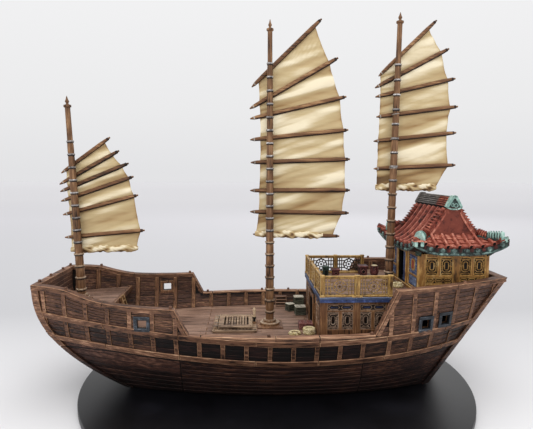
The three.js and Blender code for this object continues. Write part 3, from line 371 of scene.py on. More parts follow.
def turnedPiece(bm, profile, centre=(0, 0), axis=None, sides=24, face=0, tone=0.0, paintAt=None):
    # A turned form: the profile's (radius, height) points are spun about the upright through centre
    made = [bm.verts.new((radius, 0, z)) for radius, z in profile]
    geom = made + [bm.edges.new(pair) for pair in zip(made, made[1:])]
    before = set(bm.faces)
    bmesh.ops.spin(
        bm, geom=geom, cent=(0, 0, 0), axis=(0, 0, 1), angle=2 * math.pi, steps=sides, use_merge=True,
    )
    verts = list(vertsOf(f for f in bm.faces if f not in before))
    bmesh.ops.remove_doubles(bm, verts=verts, dist=1e-4)
    faces = [f for f in bm.faces if f not in before]
    verts = list(vertsOf(faces))
    paintFaces(bm, faces, face, tone)
    if paintAt:
        for f in faces:
            f.material_index = paintAt(f.calc_center_median())
    bmesh.ops.transform(bm, matrix=axis or Matrix.Translation((*centre, 0)), verts=verts)
    return verts


def ball(bm, spot, radius, subdivisions, face, tone=0.0):
    at = Matrix.Translation(spot)
    made = bmesh.ops.create_icosphere(bm, subdivisions=subdivisions, radius=radius, matrix=at)
    paintFaces(bm, facesOf(made["verts"]), face, tone)


# Camera, light and floor
view = {
    "place": (33.1, 593.55, 265.3), "focalPx": 475.858, "photoPx": 533,
    "pitch": 5.0635, "yaw": -2.6053, "roll": 0.232,
}


def makeCamera():
    yaw, pitch, roll = (math.radians(view[key]) for key in ("yaw", "pitch", "roll"))
    right = Matrix.Rotation(yaw, 3, "Z") @ Vector((-1, 0, 0))
    level = Matrix.Rotation(yaw, 3, "Z") @ Vector((0, -1, 0))
    above = Vector((0, 0, 1))
    forward = math.cos(pitch) * level - math.sin(pitch) * above
    top = math.sin(pitch) * level + math.cos(pitch) * above
    across = math.cos(roll) * right + math.sin(roll) * top
    rise = -math.sin(roll) * right + math.cos(roll) * top
    data = bpy.data.cameras.new("photoCamera")
    data.sensor_width = 36
    data.lens = view["focalPx"] / view["photoPx"] * data.sensor_width
    data.clip_start, data.clip_end = 0.01, 60
    camera = bpy.data.objects.new("photoCamera", data)
    camera.matrix_world = Matrix((across, rise, -forward)).transposed().to_4x4()
    camera.location = Vector(view["place"]) / 1000
    bpy.context.scene.collection.objects.link(camera)
    bpy.context.scene.camera = camera


softBoxes = [
    {"name": "frontSoftBox", "at": (0.5, 1.7, 1.5), "size": 1.5, "watts": 9},
    {"name": "topSoftBox", "at": (-0.2, 0.2, 2.1), "size": 1.8, "watts": 13},
    {"name": "leftSoftBox", "at": (1.9, 0.5, 0.9), "size": 1.2, "watts": 3},
    {"name": "backSoftBox", "at": (-0.9, -1.8, 1.4), "size": 1.4, "watts": 5},
]


def makeStudio():
    for box in softBoxes:
        data = bpy.data.lights.new(box["name"], "AREA")
        data.size, data.energy = box["size"], box["watts"]
        lamp = bpy.data.objects.new(box["name"], data)
        lamp.location = box["at"]
        aim = Vector((0, 0, 0.15)) - Vector(box["at"])
        lamp.rotation_euler = aim.to_track_quat("-Z", "Y").to_euler()
        bpy.context.scene.collection.objects.link(lamp)
    world = bpy.data.worlds.new("paleTent")
    world.use_nodes = True
    tree = world.node_tree
    # The tent is dimmer at the floor's horizon, so floor and wall run into each other
    direction = addNode(tree, "ShaderNodeTexCoord").outputs["Generated"]
    height = addNode(tree, "ShaderNodeSeparateXYZ", {0: direction}).outputs["Z"]
    stops = [(0.0, "#e3e3e5"), (0.12, "#ebebec"), (0.4, "#f4f4f5"), (1.0, "#ffffff")]
    ramp = addNode(tree, "ShaderNodeValToRGB", {"Fac": height, "stops": stops})
    tree.links.new(ramp.outputs["Color"], tree.nodes["Background"].inputs["Color"])
    tree.nodes["Background"].inputs["Strength"].default_value = 1.0
    bpy.context.scene.world = world
    bpy.context.scene.view_settings.view_transform = "Standard"

    bm = newBm()
    bmesh.ops.create_grid(bm, x_segments=1, y_segments=1, size=12.0)
    mesh = bpy.data.meshes.new("paleFloor")
    bm.to_mesh(mesh)
    bm.free()
    floor = bpy.data.objects.new("paleFloor", mesh)
    bpy.context.scene.collection.objects.link(floor)
    # Matt paper falls off in shade behind the ship, by its depth in metres
    material, tree, shader = startMaterial("matPaperFloor", 0.9, 1.5)
    place = addNode(tree, "ShaderNodeTexCoord").outputs["Object"]
    depth = addNode(tree, "ShaderNodeSeparateXYZ", {0: place}).outputs["Y"]
    stops = [
        (0.0, "#e6e5e8"), (0.5, "#e0dfe2"), (0.7, "#d5d4d8"), (0.8, "#c5c5c8"), (0.87, "#bababd"),
        (0.93, "#efeeef"),
    ]
    share = addShares(tree, 0.9, [(depth, 0.1)])
    ramp = addNode(tree, "ShaderNodeValToRGB", {"Fac": share, "stops": stops})
    tree.links.new(ramp.outputs["Color"], shader.inputs["Base Color"])
    mesh.materials.append(material)


makeCamera()
makeStudio()
print("camera, lights and floor ready")


# Hull form, the same as the solids': half breadths from the flat bottom to the rail, and raked ends
hull = {
    "bottomHalf": 63.5, "railHalf": 105.5, "flareTop": 84, "flarePower": 0.62,
    "endHalfBottom": 36.8, "endSpread": 0.16, "midX": -10, "forePower": 1.8, "aftPower": 2.7,
    "bowX": 270.3, "stemRake": 101.3, "stemHeight": 118, "stemPower": 2.15,
    "sternFootX": -191.5, "sternSlope": 0.5985, "wall": 4,
    "stemClear": 6.6, "sternClear": 7.6,
}
# The waist's level rail, and how far its sloping steps run and rise to the higher rails
waist = {
    "foreX": 92.5, "aftX": -109, "rail": 82.5,
    "foreRun": 15, "foreRise": 28.5, "aftRun": 23.5, "aftRise": 48.5,
    "liningTop": 79.2, "ribTop": 80.6, "foreRibTop": 104.5,
}
railLine = [
    (278, 130), (250, 129.4), (230, 126.8), (215, 121.5), (199, 116.8), (182, 113.8), (160, 112.2),
    (133, 111.2), (107.5, 111), (92.5, 82.5), (-109, 82.5), (-132.5, 131), (-280, 136),
]
levels = {"seam": 56, "mainDeck": 62.5, "upperDeck": 115.4, "foredeck": 97, "roofDeck": 115.2}
# A rib's width, and the gap on each side where the dark hull below shows as a painted shadow line
ribs = {
    "width": 4.2, "shadow": 0.7,
    "fore": [257.8 - 25.3 * k for k in range(15)],
    "aft": [-126.5, -152.5, -178.5, -205.5, -231, -257],
}
ribClear = ribs["width"] / 2 + ribs["shadow"]
wale = {"height": 5.6, "proud": 2.5, "lip": 0.6, "joints": [187, 103, 20, -48, -122, -196]}
plank = {"proud": 0.75, "gap": 0.75, "lip": 0.3, "longCell": 9, "highCell": 8}
bulwarkWindows = [
    {"x": 142.8, "z": 93.4, "wide": 17.4, "high": 16.4},
    {"x": -168.4, "z": 90.2, "wide": 17.4, "high": 18},
    {"x": -193.6, "z": 92.6, "wide": 17, "high": 18},
]
sectionSeams = {"lower": (103, -99), "upper": (79, -48)}


def stemX(z):
    return hull["bowX"] - hull["stemRake"] * max(0, 1 - z / hull["stemHeight"]) ** hull["stemPower"]


def sternX(z):
    return hull["sternFootX"] - hull["sternSlope"] * z


def stemStop(z):
    # Planks stop clear of the corner boards
    return stemX(z) - hull["stemClear"]


def sternStop(z):
    return sternX(z) + hull["sternClear"]


def endHalf(z):
    return hull["endHalfBottom"] + hull["endSpread"] * z


def halfAt(x, z, grow=0.0):
    # Half the breadth of the hull's form grown by a distance, at x and z
    end = stemX(z) + grow if x > hull["midX"] else sternX(z) - 1.16 * grow
    s = max(-1.0, min(1.0, (x - hull["midX"]) / abs(end - hull["midX"])))
    flare = min(1, max(0, z) / hull["flareTop"]) ** hull["flarePower"]
    middle = hull["bottomHalf"] + (hull["railHalf"] - hull["bottomHalf"]) * flare
    power = hull["forePower"] if s > 0 else hull["aftPower"]
    return endHalf(z) + (middle - endHalf(z)) * (1 - abs(s) ** power) + grow


def sheerLine(low, fore, aft):
    return lambda x: low + (fore if x > -20 else aft) * (abs(x + 20) / 260) ** 1.5


wale1Top = sheerLine(77, 19.5, 13)
wale2Top = sheerLine(52, 18, 12)


def wale1Foot(x):
    return wale1Top(x) - wale["height"]


def wale2Foot(x):
    return wale2Top(x) - wale["height"]


def railTop(x):
    for (xa, za), (xb, zb) in zip(railLine, railLine[1:]):
        if xa >= x >= xb:
            return za + (zb - za) * (xa - x) / (xa - xb)
    return railLine[-1][1]


def railUnder(x):
    # The cap's underside, with the two steps left out: the bulwark planks run on level behind them
    if 92.5 < x < 133:
        return 106.4
    if -132.5 < x < -109:
        return 126.4
    return railTop(x) - 4.6


def foreStepX(z):
    return waist["foreX"] + (z - waist["rail"]) * waist["foreRun"] / waist["foreRise"] + 5.4


def aftStepX(z):
    return waist["aftX"] - (z - waist["rail"]) * waist["aftRun"] / waist["aftRise"] - 5.6


def ribTop(x, top):
    # A rib beside one of the rail's steps is cut short by it
    if 92 < x < 108:
        return waist["foreRibTop"]
    if -128 < x < waist["aftX"]:
        return min(top, waist["rail"] + (waist["aftX"] - x) * waist["aftRise"] / waist["aftRun"] - 3)
    return top


def deckUnder(x):
    return levels["foredeck"] if x > 200 else levels["upperDeck"] if x < -137 else levels["mainDeck"]


def asFunction(value):
    return value if callable(value) else (lambda _: value)


def insideFrom(x):
    # The lowest height at which the hull reaches as far as x, with room for the corner boards
    if x < hull["sternFootX"]:
        return (hull["sternFootX"] - x) / hull["sternSlope"] + 10
    if x > 169:
        short = max(0.0, (hull["bowX"] - x) / hull["stemRake"]) ** (1 / hull["stemPower"])
        return hull["stemHeight"] * (1 - short) + 12
    return 0


def hullPlank(bm, side, xs, zs, base=0.0, proud=0.75, lip=0.3, tone=None, paint=(0, 1)):
    # xs are the ends, numbers or functions of z; zs the lower and upper edge, numbers or functions of x
    xa, xb = (asFunction(value) for value in xs)
    za, zb = (asFunction(value) for value in zs)
    middleX = (xa(90) + xb(90)) / 2
    middleZ = (za(middleX) + zb(middleX)) / 2
    long = abs(xb(middleZ) - xa(middleZ))
    high = abs(zb(middleX) - za(middleX))
    if long < 1.2 or high < 1.0:
        return

    def place(u, v, w):
        a, b = u / long, v / high
        guess = xa(middleZ) + a * (xb(middleZ) - xa(middleZ))
        z = za(guess) + b * (zb(guess) - za(guess))
        x = xa(z) + a * (xb(z) - xa(z))
        return Vector((x, side * halfAt(x, z, base + w), z))

    steps, across = max(1, round(long / plank["longCell"])), max(1, round(high / plank["highCell"]))
    w = (-0.5 if proud > 0 else 0.5, proud)
    board(bm, place, (0, long), (0, high), w, steps, across, lip, tone, paint)


def rowEdges(bottom, top, start, end, gap=plank["gap"]):
    # The lower and upper edge of a row of planks that takes a share of the height between two lines
    bottom, top = asFunction(bottom), asFunction(top)

    def low(x):
        return bottom(x) + (top(x) - bottom(x)) * start + gap / 2

    def high(x):
        return bottom(x) + (top(x) - bottom(x)) * end - gap / 2
    return low, high


def cutRound(x0, x1, z0, z1):
    # The plank's rectangle less the window frames
    for window in bulwarkWindows:
        left, right = about(window["x"], window["wide"] / 2)
        low, top = about(window["z"], window["high"] / 2)
        if x0 < right and x1 > left and z0 < top and z1 > low:
            pieces = [(x0, left, z0, z1), (right, x1, z0, z1), (left, right, z0, low), (left, right, top, z1)]
            return [piece for piece in pieces if piece[1] - piece[0] > 1.2 and piece[3] - piece[2] > 1.2]
    return [(x0, x1, z0, z1)]


def bulwarkPlank(bm, side, xs, edges, base, way):
    # One plank of a bay, whole or cut round a window; way is 1 outboard and -1 inboard
    xa, xb = (asFunction(value) for value in xs)
    low, high = (edge((xa(100) + xb(100)) / 2) for edge in edges)
    if xb(high) - xa(high) < 3:
        return
    whole = (xa(low), xb(low), low, high)
    cut = cutRound(*whole)
    if cut == [whole]:
        hullPlank(bm, side, xs, edges, base, way * (plank["proud"] + dice.uniform(-0.12, 0.12)))
        return
    for a, b, c, d in cut:
        hullPlank(bm, side, (a, b), (c, d), base, way * plank["proud"])


def bulwarkBays(inside):
    # Neighbouring ribs, and the two bays that the sloping steps of the rail cut short
    room = 2 if inside else 0
    bays = [(ribs["fore"][0] + ribClear, lambda z: stemStop(z) - room, "fore")]
    fore = [x for x in ribs["fore"] if x > 100]
    bays += [(low + ribClear, high - ribClear, "fore") for high, low in zip(fore, fore[1:])]
    bays += [(foreStepX, 106 - ribClear, "fore")]
    bays += [(ribs["aft"][0] + ribClear, aftStepX, "aft")]
    for high, low in zip(ribs["aft"], ribs["aft"][1:]):
        left = lambda z, x=low + ribClear: max(x, sternStop(z))
        right = lambda z, x=high - ribClear: min(x, aftStepX(z))
        bays.append((left, right, "aft"))
    bays += [(sternStop, ribs["aft"][-1] - ribClear, "aft")]
    return bays


def makeOuterBulwark(side, label):
    bm = newBm()
    rows = {"fore": 6, "aft": 8}
    for x0, x1, part in bulwarkBays(False):
        n = rows[part]
        cuts = [(j + dice.uniform(-0.12, 0.12) * (0 < j < n)) / n for j in range(n + 1)]
        for start, end in zip(cuts, cuts[1:]):
            bulwarkPlank(bm, side, (x0, x1), rowEdges(wale1Top, railUnder, start, end), 0, 1)
    # The band between the two wales, darkened with painted shade, most along the waist
    every = sorted([*ribs["fore"], *ribs["aft"]], reverse=True)
    for x1, x0 in zip([math.inf, *every], every[:-1]):
        left = lambda z, x=x0 + ribClear: max(x, sternStop(z))
        right = lambda z, x=x1 - ribClear: min(x, stemStop(z))
        paint = (4, 5) if -122 < x0 < 110 else (0, 1)
        for j in range(3):
            edges = rowEdges(wale2Top, wale1Foot, j / 3, (j + 1) / 3)
            proud = plank["proud"] + dice.uniform(-0.12, 0.12)
            hullPlank(bm, side, (left, right), edges, 0, proud, plank["lip"], dice.uniform(-3.2, -0.4), paint)
    # Ribs over both bands
    for x in every:
        low, high = max(wale1Top(x), insideFrom(x)), ribTop(x, railUnder(x) + 0.3)
        if high - low > 3:
            hullPlank(bm, side, about(x, 2.3), (low, high), 0, 1.6, 0.45, None, (2, 3))
        low, high = max(wale2Top(x), insideFrom(x)), wale1Foot(x)
        if high - low > 3:
            hullPlank(bm, side, about(x, 2.3), (low, high), 0, 1.55, 0.45, dice.uniform(-1.5, 0.5), (2, 3))
    slots = ["hull", "hullEdge", "rail", "railEdge", "hullLow", "hullLowEdge"]
    landPiece(f"bulwarkPlanks_{label}", bm, slots)


def makeInnerBulwark(side, label):
    bm = newBm()
    base = -hull["wall"]
    bays = bulwarkBays(True)
    shown = [x for x in ribs["fore"] if -60 < x < 107]
    bays += [(low + ribClear, high - ribClear, "waist") for high, low in zip(shown, shown[1:])]
    bays += [(-108.0, shown[-1] - ribClear, "waist"), (-124, -108.4, "waist")]
    for x0, x1, part in bays:
        middle = (asFunction(x0)(100) + asFunction(x1)(100)) / 2
        floor = deckUnder(middle)
        ceiling = asFunction(waist["liningTop"] if part == "waist" else railUnder)
        rows = max(2, round((ceiling(middle) - floor) / 6.4))
        for j in range(rows):
            edges = rowEdges(floor + 0.4, ceiling, j / rows, (j + 1) / rows)
            bulwarkPlank(bm, side, (x0, x1), edges, base, -1)
    for x in [*ribs["fore"], *ribs["aft"]]:
        if -120 < x < -60:
            continue
        top = ribTop(x, waist["ribTop"] if -60 < x < 92 else railUnder(x) + 0.2)
        hullPlank(bm, side, about(x, 2.3), (deckUnder(x) + 0.4, top), base, -2.3, 0.45, None, (2, 3))
    landPiece(f"bulwarkLining_{label}", bm, ["hull", "hullEdge", "frame", "frameEdge"])


def makeWales(side, label):
    bm = newBm()
    joints = wale["joints"]
    spans = [(joints[0] + 0.3, lambda z: stemX(z) + 0.4)]
    spans += [(b + 0.3, a - 0.3) for a, b in zip(joints, joints[1:])]
    spans += [(lambda z: sternX(z) - 0.6, joints[-1] - 0.3)]
    for foot, top in ((wale1Foot, wale1Top), (wale2Foot, wale2Top)):
        for xs in spans:
            edges = (lambda x: foot(x) - 0.5, lambda x: top(x) + 0.5)
            hullPlank(bm, side, xs, edges, 0, wale["proud"], wale["lip"])
    landPiece(f"wales_{label}", bm, ["rail", "railEdge"])


def makeLowerPlanks(side, label):
    bm = newBm()
    rows = 8
    foreSeam, aftSeam = sectionSeams["lower"]
    for j in range(rows):
        # Gaps are wider at the printed sections' joints, and the joint amidships steps from row to row
        joint = 9 * (j % 3)
        spans = [
            (foreSeam + 0.8, lambda z: stemX(z) - 5.5), (joint + 0.3, foreSeam - 0.8),
            (aftSeam + 0.8, joint - 0.3), (lambda z: sternX(z) + 5.5, aftSeam - 0.8),
        ]
        # Strakes narrow toward the ends as the bottom rises
        edges = rowEdges(0.6, lambda x: wale2Foot(x) - 0.6, j / rows, (j + 1) / rows, 0.4)
        for xs in spans:
            # Strakes are paler toward the wale, more so at the bow: painted light above and painted shade
            # toward the bottom
            isBow = xs is spans[0]
            tone = (j / (rows - 1) - 0.6) * (2.6 if isBow else 1.6) + dice.uniform(-0.5, 0.5)
            proud = 0.6 + dice.uniform(-0.1, 0.1)
            hullPlank(bm, side, xs, edges, 0, proud, 0.3, tone, (1 if isBow and j > rows - 4 else 0, 1))
    # A dark strip runs level along the joint between the printed sections, and where the lower wale dips
    # below the joint it follows the wale as a painted shadow under it
    foreSeam, aftSeam = sectionSeams["upper"]
    low = lambda x: min(levels["seam"] - 0.6, wale2Foot(x) - 3.3)
    for xs in ((foreSeam, lambda z: stemX(z) - 4), (lambda z: sternX(z) + 4, aftSeam)):
        hullPlank(bm, side, xs, (low, lambda x: low(x) + 1.7), 0, 0.85, 0.15, 0, (2, 2))
    landPiece(f"bottomStrakes_{label}", bm, ["hullLow", "hullLowEdge", "groove"])


transoms = {
    "bow": {
        "endX": stemX, "way": 1, "low": 2.0, "top": 125.2, "inset": 6.0,
        "deck": "foredeck", "liningRows": 5,
    },
    "stern": {
        "endX": sternX, "way": -1, "low": 1.0, "top": 131.0, "inset": 7.0,
        "deck": "upperDeck", "liningRows": 3,
    },
}


def makeTransom(name, transom):
    bm = newBm()
    endX, way, low, top = (transom[key] for key in ("endX", "way", "low", "top"))
    seam = levels["seam"]

    def across(u, v, w):
        # u runs athwartships, v is the height
        return Vector((endX(v) + way * w, u, v))

    rows = 17
    for j in range(rows):
        z0 = low + (top - low) * j / rows + 0.25
        z1 = low + (top - low) * (j + 1) / rows - 0.25
        if z0 < seam < z1:
            z1 = seam - 0.2
        half = endHalf(z0) - 4.5
        for a, b in ((-half, -half * 0.3), (-half * 0.3, half * 0.36), (half * 0.36, half)):
            # Below the seam the boards take the bottom's darker paint and painted shade
            paint = (2, 3) if z1 < seam else (0, 1)
            board(bm, across, (a + 0.2, b - 0.2), (z0, z1), (-0.3, 0.7), 3, 1, 0.35, None, paint)
    for side in (1, -1):
        def onCorner(u, v, w):
            return across(side * (endHalf(v) - u), v, w)

        def onFlank(u, v, w):
            x = endX(v) - way * u
            return Vector((x, side * halfAt(x, v, w), v))

        for z0, z1 in ((low, seam - 0.7), (seam + 0.7, top)):
            steps = 8
            for k in range(steps):
                za, zb = z0 + (z1 - z0) * k / steps, z0 + (z1 - z0) * (k + 1) / steps
                board(bm, onCorner, (-0.5, 4.8), (za, zb), (-0.4, 0.8), 1, 1, 0.3, 0.2, (4, 5))
                # The corner boards darken toward the foot with the bottom, in painted shade
                paint, tone = (4, 5), 0.2
                if zb <= seam:
                    paint, tone = (0, 1) if k > steps / 2 else (3, 3), 0.35 * (k - steps)
                board(bm, onFlank, (-0.5, 8.0), (za - 0.1, zb + 0.1), (-0.4, 2.8), 1, 1, 0.3, tone, paint)

    def onLining(u, v, w):
        return across(u, v, -transom["inset"] - w)

    floor, rows = levels[transom["deck"]], transom["liningRows"]
    for j in range(rows):
        z0 = floor + 0.5 + (top - floor) * j / rows
        z1 = floor + 0.1 + (top - floor) * (j + 1) / rows
        half = endHalf(z0) - 6.5
        board(bm, onLining, (-half, half), (z0, z1), (-0.2, 0.7), 8, 1, 0.35)
    slots = ["hull", "hullEdge", "hullLow", "hullLowEdge", "rail", "railEdge"]
    landPiece(f"{name}Planks", bm, slots)


def alongRail(points):
    # A line of points by its length: at(u) gives the spot and the direction square to the line
    spans, total = [], 0.0
    for (xa, za), (xb, zb) in zip(points, points[1:]):
        length = math.hypot(xb - xa, zb - za)
        spans.append((total, length, xa, za, xb, zb))
        total += length

    def at(u):
        start, length, xa, za, xb, zb = next((span for span in spans if u <= span[0] + span[1]), spans[-1])
        t = (u - start) / length
        return xa + (xb - xa) * t, za + (zb - za) * t, (zb - za) / length, -(xb - xa) / length
    return at, total


capRuns = [
    [(271.6, 130), (250, 129.4), (230, 126.8), (215, 121.5), (199, 116.8), (187, 114.6)],
    [(187, 114.6), (182, 113.8), (160, 112.2), (133, 111.2), (106.6, 111)],
    [(107.2, 111.2), (92.2, 82.6)],
    [(93.0, 82.5), (79.2, 82.5)],
    [(78.8, 82.5), (-1, 82.5)],
    [(-1, 82.5), (-47.8, 82.5)],
    [(-48.2, 82.5), (-109.4, 82.5)],
    [(-108.8, 82.4), (-132.8, 131.4)],
    [(-132, 131), (-204, 133.5)],
    [(-204, 133.5), (-273.3, 135.8)],
]


def makeRailCap(side, label):
    bm = newBm()
    for run in capRuns:
        at, total = alongRail(run)

        def place(u, v, w):
            x, z, dx, dz = at(max(0.0, min(total, u)))
            upX, upZ = (dx, dz) if dz > 0 else (-dx, -dz)
            return Vector((x + upX * w, side * halfAt(x, z - 2, v), z + upZ * w))

        steps = max(1, round(total / 9))
        # A broad top board over a side board; along the waist it overhangs more, and its top board is paler
        # with painted light
        sideOut, tone = (1.0, 1.9) if run[0][1] == run[1][1] else (1.9, None)
        board(bm, place, (0.25, total - 0.25), (-6.4, 2.2), (-1.7, 0.35), steps, 1, 0.5, tone)
        board(bm, place, (0.3, total - 0.3), (-6.0, sideOut), (-4.9, -2.0), steps, 1, 0.4)
    landPiece(f"railCap_{label}", bm, ["rail", "railEdge"])


def makeEndCaps():
    bm = newBm()
    bow = lambda u, v, w: Vector((stemX(128) + v, u, 129.9 + w))
    board(bm, bow, (-57.4, 57.4), (-6.6, 1.5), (-4.6, 0.4), 12, 1, 0.55, 0.1)
    stern = lambda u, v, w: Vector((sternX(134) - v, u, 135.8 + w))
    board(bm, stern, (-57.7, 57.7), (-8.0, 1.7), (-4.6, 0.4), 12, 1, 0.55, 0.1)
    landPiece("endRailCaps", bm, ["rail", "railEdge"])


knobs = {
    "port": (229.7, 111.2, 6.3, -105.6, -150, -215),
    "starboard": (230.2, 111.5, 86, 6.3, -33, -105.6, -150, -215),
    "bow": (42.9, 10.7, -28.2, -55.1),
    "profile": [(0, -0.6), (1.9, -0.6), (2.1, 0.4), (1.5, 0.9), (1.9, 1.8), (1.4, 2.7), (0, 3.0)],
}


def makeRailKnobs():
    # Small round pegs stand on the rail
    bm = newBm()
    for x, side in [*((x, 1) for x in knobs["port"]), *((x, -1) for x in knobs["starboard"])]:
        z = railTop(x) + 0.35
        spot = Matrix.Translation((x, side * (halfAt(x, z) - 2.1), z))
        turnedPiece(bm, knobs["profile"], axis=spot, sides=12)
    for y in knobs["bow"]:
        turnedPiece(bm, knobs["profile"], axis=Matrix.Translation((268, y, 130.3)), sides=12)
    landPiece("railKnobs", bm, ["rail"], smoothDegrees=50)


def makeWindowFrames():
    bm = newBm()
    rim, over = 3.3, 0.3
    for window in bulwarkWindows:
        left, right = about(window["x"], window["wide"] / 2)
        low, top = about(window["z"], window["high"] / 2)
        sides = (
            ((left - over, right + over), (low - over, low + rim), 2),
            ((left - over, right + over), (top - rim, top + over), 2),
            ((left - over, left + rim), (low + rim, top - rim), 1),
            ((right - rim, right + over), (low + rim, top - rim), 1),
        )
        for side in (1, -1):
            for way, base, reach, paint in ((1, 0, 2.5, (0, 1)), (-1, -hull["wall"], 1.7, (2, 3))):
                place = lambda u, v, w: Vector((u, side * halfAt(u, v, base + way * w), v))
                for u, v, steps in sides:
                    board(bm, place, u, v, (-1.2, reach), steps, 1, 0.5, 0, paint)
    landPiece("windowFrames", bm, ["windowFrame", "windowEdge", "frame", "frameEdge"])


for side, label in ((1, "port"), (-1, "starboard")):
    makeOuterBulwark(side, label)
    makeInnerBulwark(side, label)
    makeWales(side, label)
    makeLowerPlanks(side, label)
    makeRailCap(side, label)
for name, transom in transoms.items():
    makeTransom(name, transom)
makeEndCaps()
makeRailKnobs()
makeWindowFrames()
print("hull planked")


# Decks: sprung planks that follow the bulwarks, broken at the printed sections' seams
deckPlank = {
    "proud": 0.25, "gap": 0.25, "seamGap": 0.35, "lip": 0.3, "length": 62, "cell": 12,
    "inset": hull["wall"] + 0.9,
}


def deckPlanks(bm, z, xs, rows, cuts=()):
    for r in range(rows):
        t0, t1 = -1 + 2 * r / rows, -1 + 2 * (r + 1) / rows
        stagger = (r % 3) * 13
        joints = range(int(xs[0]) + 24 + stagger, int(xs[1]) - 12, deckPlank["length"])
        breaks = sorted({*xs, *joints, *(c for c in cuts if xs[0] < c < xs[1])})
        breaks = [b for i, b in enumerate(breaks) if i == 0 or b - breaks[i - 1] > 6 or b == breaks[-1]]
        for a, b in zip(breaks, breaks[1:]):
            # Planks stand further apart at a section's joint
            a += deckPlank["seamGap"] * (a in cuts)
            b -= deckPlank["seamGap"] * (b in cuts)

            def place(u, v, w):
                half = halfAt(u, z) - deckPlank["inset"]
                return Vector((u, (t0 + (t1 - t0) * v / 10) * half, z + w))

            gap, steps = deckPlank["gap"], max(1, round((b - a) / deckPlank["cell"]))
            w = (-0.15, deckPlank["proud"])
            board(bm, place, (a + gap, b - gap), (gap, 10 - gap), w, steps, 1, deckPlank["lip"])


def makeDecks():
    bm = newBm()
    deckPlanks(bm, levels["mainDeck"], (-150, 238), 26, sectionSeams["upper"])
    landPiece("mainDeckPlanks", bm, ["deck", "deckEdge"])

    bm = newBm()
    deckPlanks(bm, levels["foredeck"], (193, 262), 20)
    # The board along the foredeck's edge, with its dowel heads
    half = halfAt(191, 97) - deckPlank["inset"] - 0.6
    edge = lambda u, v, w: Vector((191.3 + v, u, 98.6 + w))
    for k in range(4):
        a = -half + 2 * half * k / 4
        board(bm, edge, (a + 0.2, a + half / 2 - 0.2), (-2.0, 2.2), (-5.8, 0.35), 3, 1, 0.45, None, (2, 1))
    for k in range(14):
        y = -half + 6 + k * (2 * half - 12) / 13
        turnedPiece(bm, [(0, 98.2), (0.7, 98.2), (0.6, 99.3), (0, 99.5)], (191.4, y), sides=8, face=1)
    landPiece("foredeckPlanks", bm, ["deck", "deckEdge", "frame"])

    bm = newBm()
    deckPlanks(bm, levels["upperDeck"], (-252, -137.6), 22)
    landPiece("poopPlanks", bm, ["deck", "deckEdge"])


def paintNode(names, key):
    for name in names:
        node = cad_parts[name]
        node.data.materials.clear()
        node.data.materials.append(finish[key])


makeDecks()
hullNodes = [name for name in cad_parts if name.startswith("bulwark_") and name != "bulwark_steps"]
paintNode([*hullNodes, "bow_transom", "stern_transom"], "groove")
paintNode(["lower_hull_fore", "lower_hull_mid", "lower_hull_aft"], "groove")
paintNode(["main_deck_fore", "main_deck_mid", "main_deck_aft", "foredeck", "poop_deck"], "frame")
paintNode(["display_base"], "blackBoard")
print("decks laid")


# Joinery: bars, rings and panels laid on a wall; onWall gives (along, up, out) of a wall square to X or Y
def onWall(axis, at, outward):
    if axis == "x":
        return lambda u, v, w: Vector((at + outward * w, u, v))
    return lambda u, v, w: Vector((u, at + outward * w, v))


def strip(bm, place, start, end, wide, w=(0, 0.8), lip=0.12, tone=None, paint=(0, 1)):
    start, run = Vector(start), Vector(end) - Vector(start)
    along = run / run.length
    off = Vector((-along.y, along.x))

    def onStrip(a, b, c):
        spot = start + along * a + off * b
        return place(spot.x, spot.y, c)

    board(bm, onStrip, (0, run.length), (-wide / 2, wide / 2), w, 1, 1, lip, tone, paint)


def outline(bm, place, points, wide, w=(0, 0.8), paint=(0, 1), tone=None):
    for start, end in zip(points, points[1:] + points[:1]):
        run = (Vector(end) - Vector(start)).normalized() * wide * 0.3
        strip(bm, place, Vector(start) - run, Vector(end) + run, wide, w, 0.1, tone, paint)


def rectangle(x0, x1, z0, z1):
    return [(x0, z0), (x1, z0), (x1, z1), (x0, z1)]


def oval(cx, cy, rx, ry, sides=12):
    angles = [2 * math.pi * k / sides for k in range(sides)]
    return [(cx + rx * math.cos(a), cy + ry * math.sin(a)) for a in angles]


def cutBox(cx, cy, rx, ry, cut):
    # A rectangle with its corners cut off
    return [
        (cx - rx + cut, cy - ry), (cx + rx - cut, cy - ry), (cx + rx, cy - ry + cut),
        (cx + rx, cy + ry - cut), (cx + rx - cut, cy + ry), (cx - rx + cut, cy + ry),
        (cx - rx, cy + ry - cut), (cx - rx, cy - ry + cut),
    ]


def scrollPanel(bm, place, x0, x1, z0, z1, slotZ, w, paint, line=0.9):
    # Carved panel: two cut-cornered rings round the slot, a frame, curls in its corners and ties between them
    cx, halfX = (x0 + x1) / 2, (x1 - x0) / 2
    middle, halfZ = (z0 + z1) / 2, (z1 - z0) / 2

    def tie(start, end, share):
        strip(bm, place, start, end, line * share, w, 0.1, None, paint)

    outline(bm, place, rectangle(x0, x1, z0, z1), 0.9, w, paint)
    outline(bm, place, cutBox(cx, slotZ, 2.4, 4.7, 1.3), line, w, paint)
    outline(bm, place, cutBox(cx, slotZ, halfX * 0.7, 7.1, 2.2), line * 0.85, w, paint)
    for side in (-1, 1):
        for part in (-0.5, 0, 0.5):
            z = middle + part * halfZ
            tie((cx + side * halfX * 0.72, z), (cx + side * halfX, z), 0.8)
        for z, way in ((z0, 1), (z1, -1)):
            level, curl = z + way * 1.9, Vector((side, -way)) * 1.1
            corner = Vector((cx + side * (halfX - 1.9), level))
            tie(corner - curl, corner + curl, 1)
            tie((cx, level), (cx + side * halfX * 0.62, level), 0.8)
        tie((cx + side * 2.4, slotZ), (cx + side * halfX * 0.7, slotZ), 0.7)


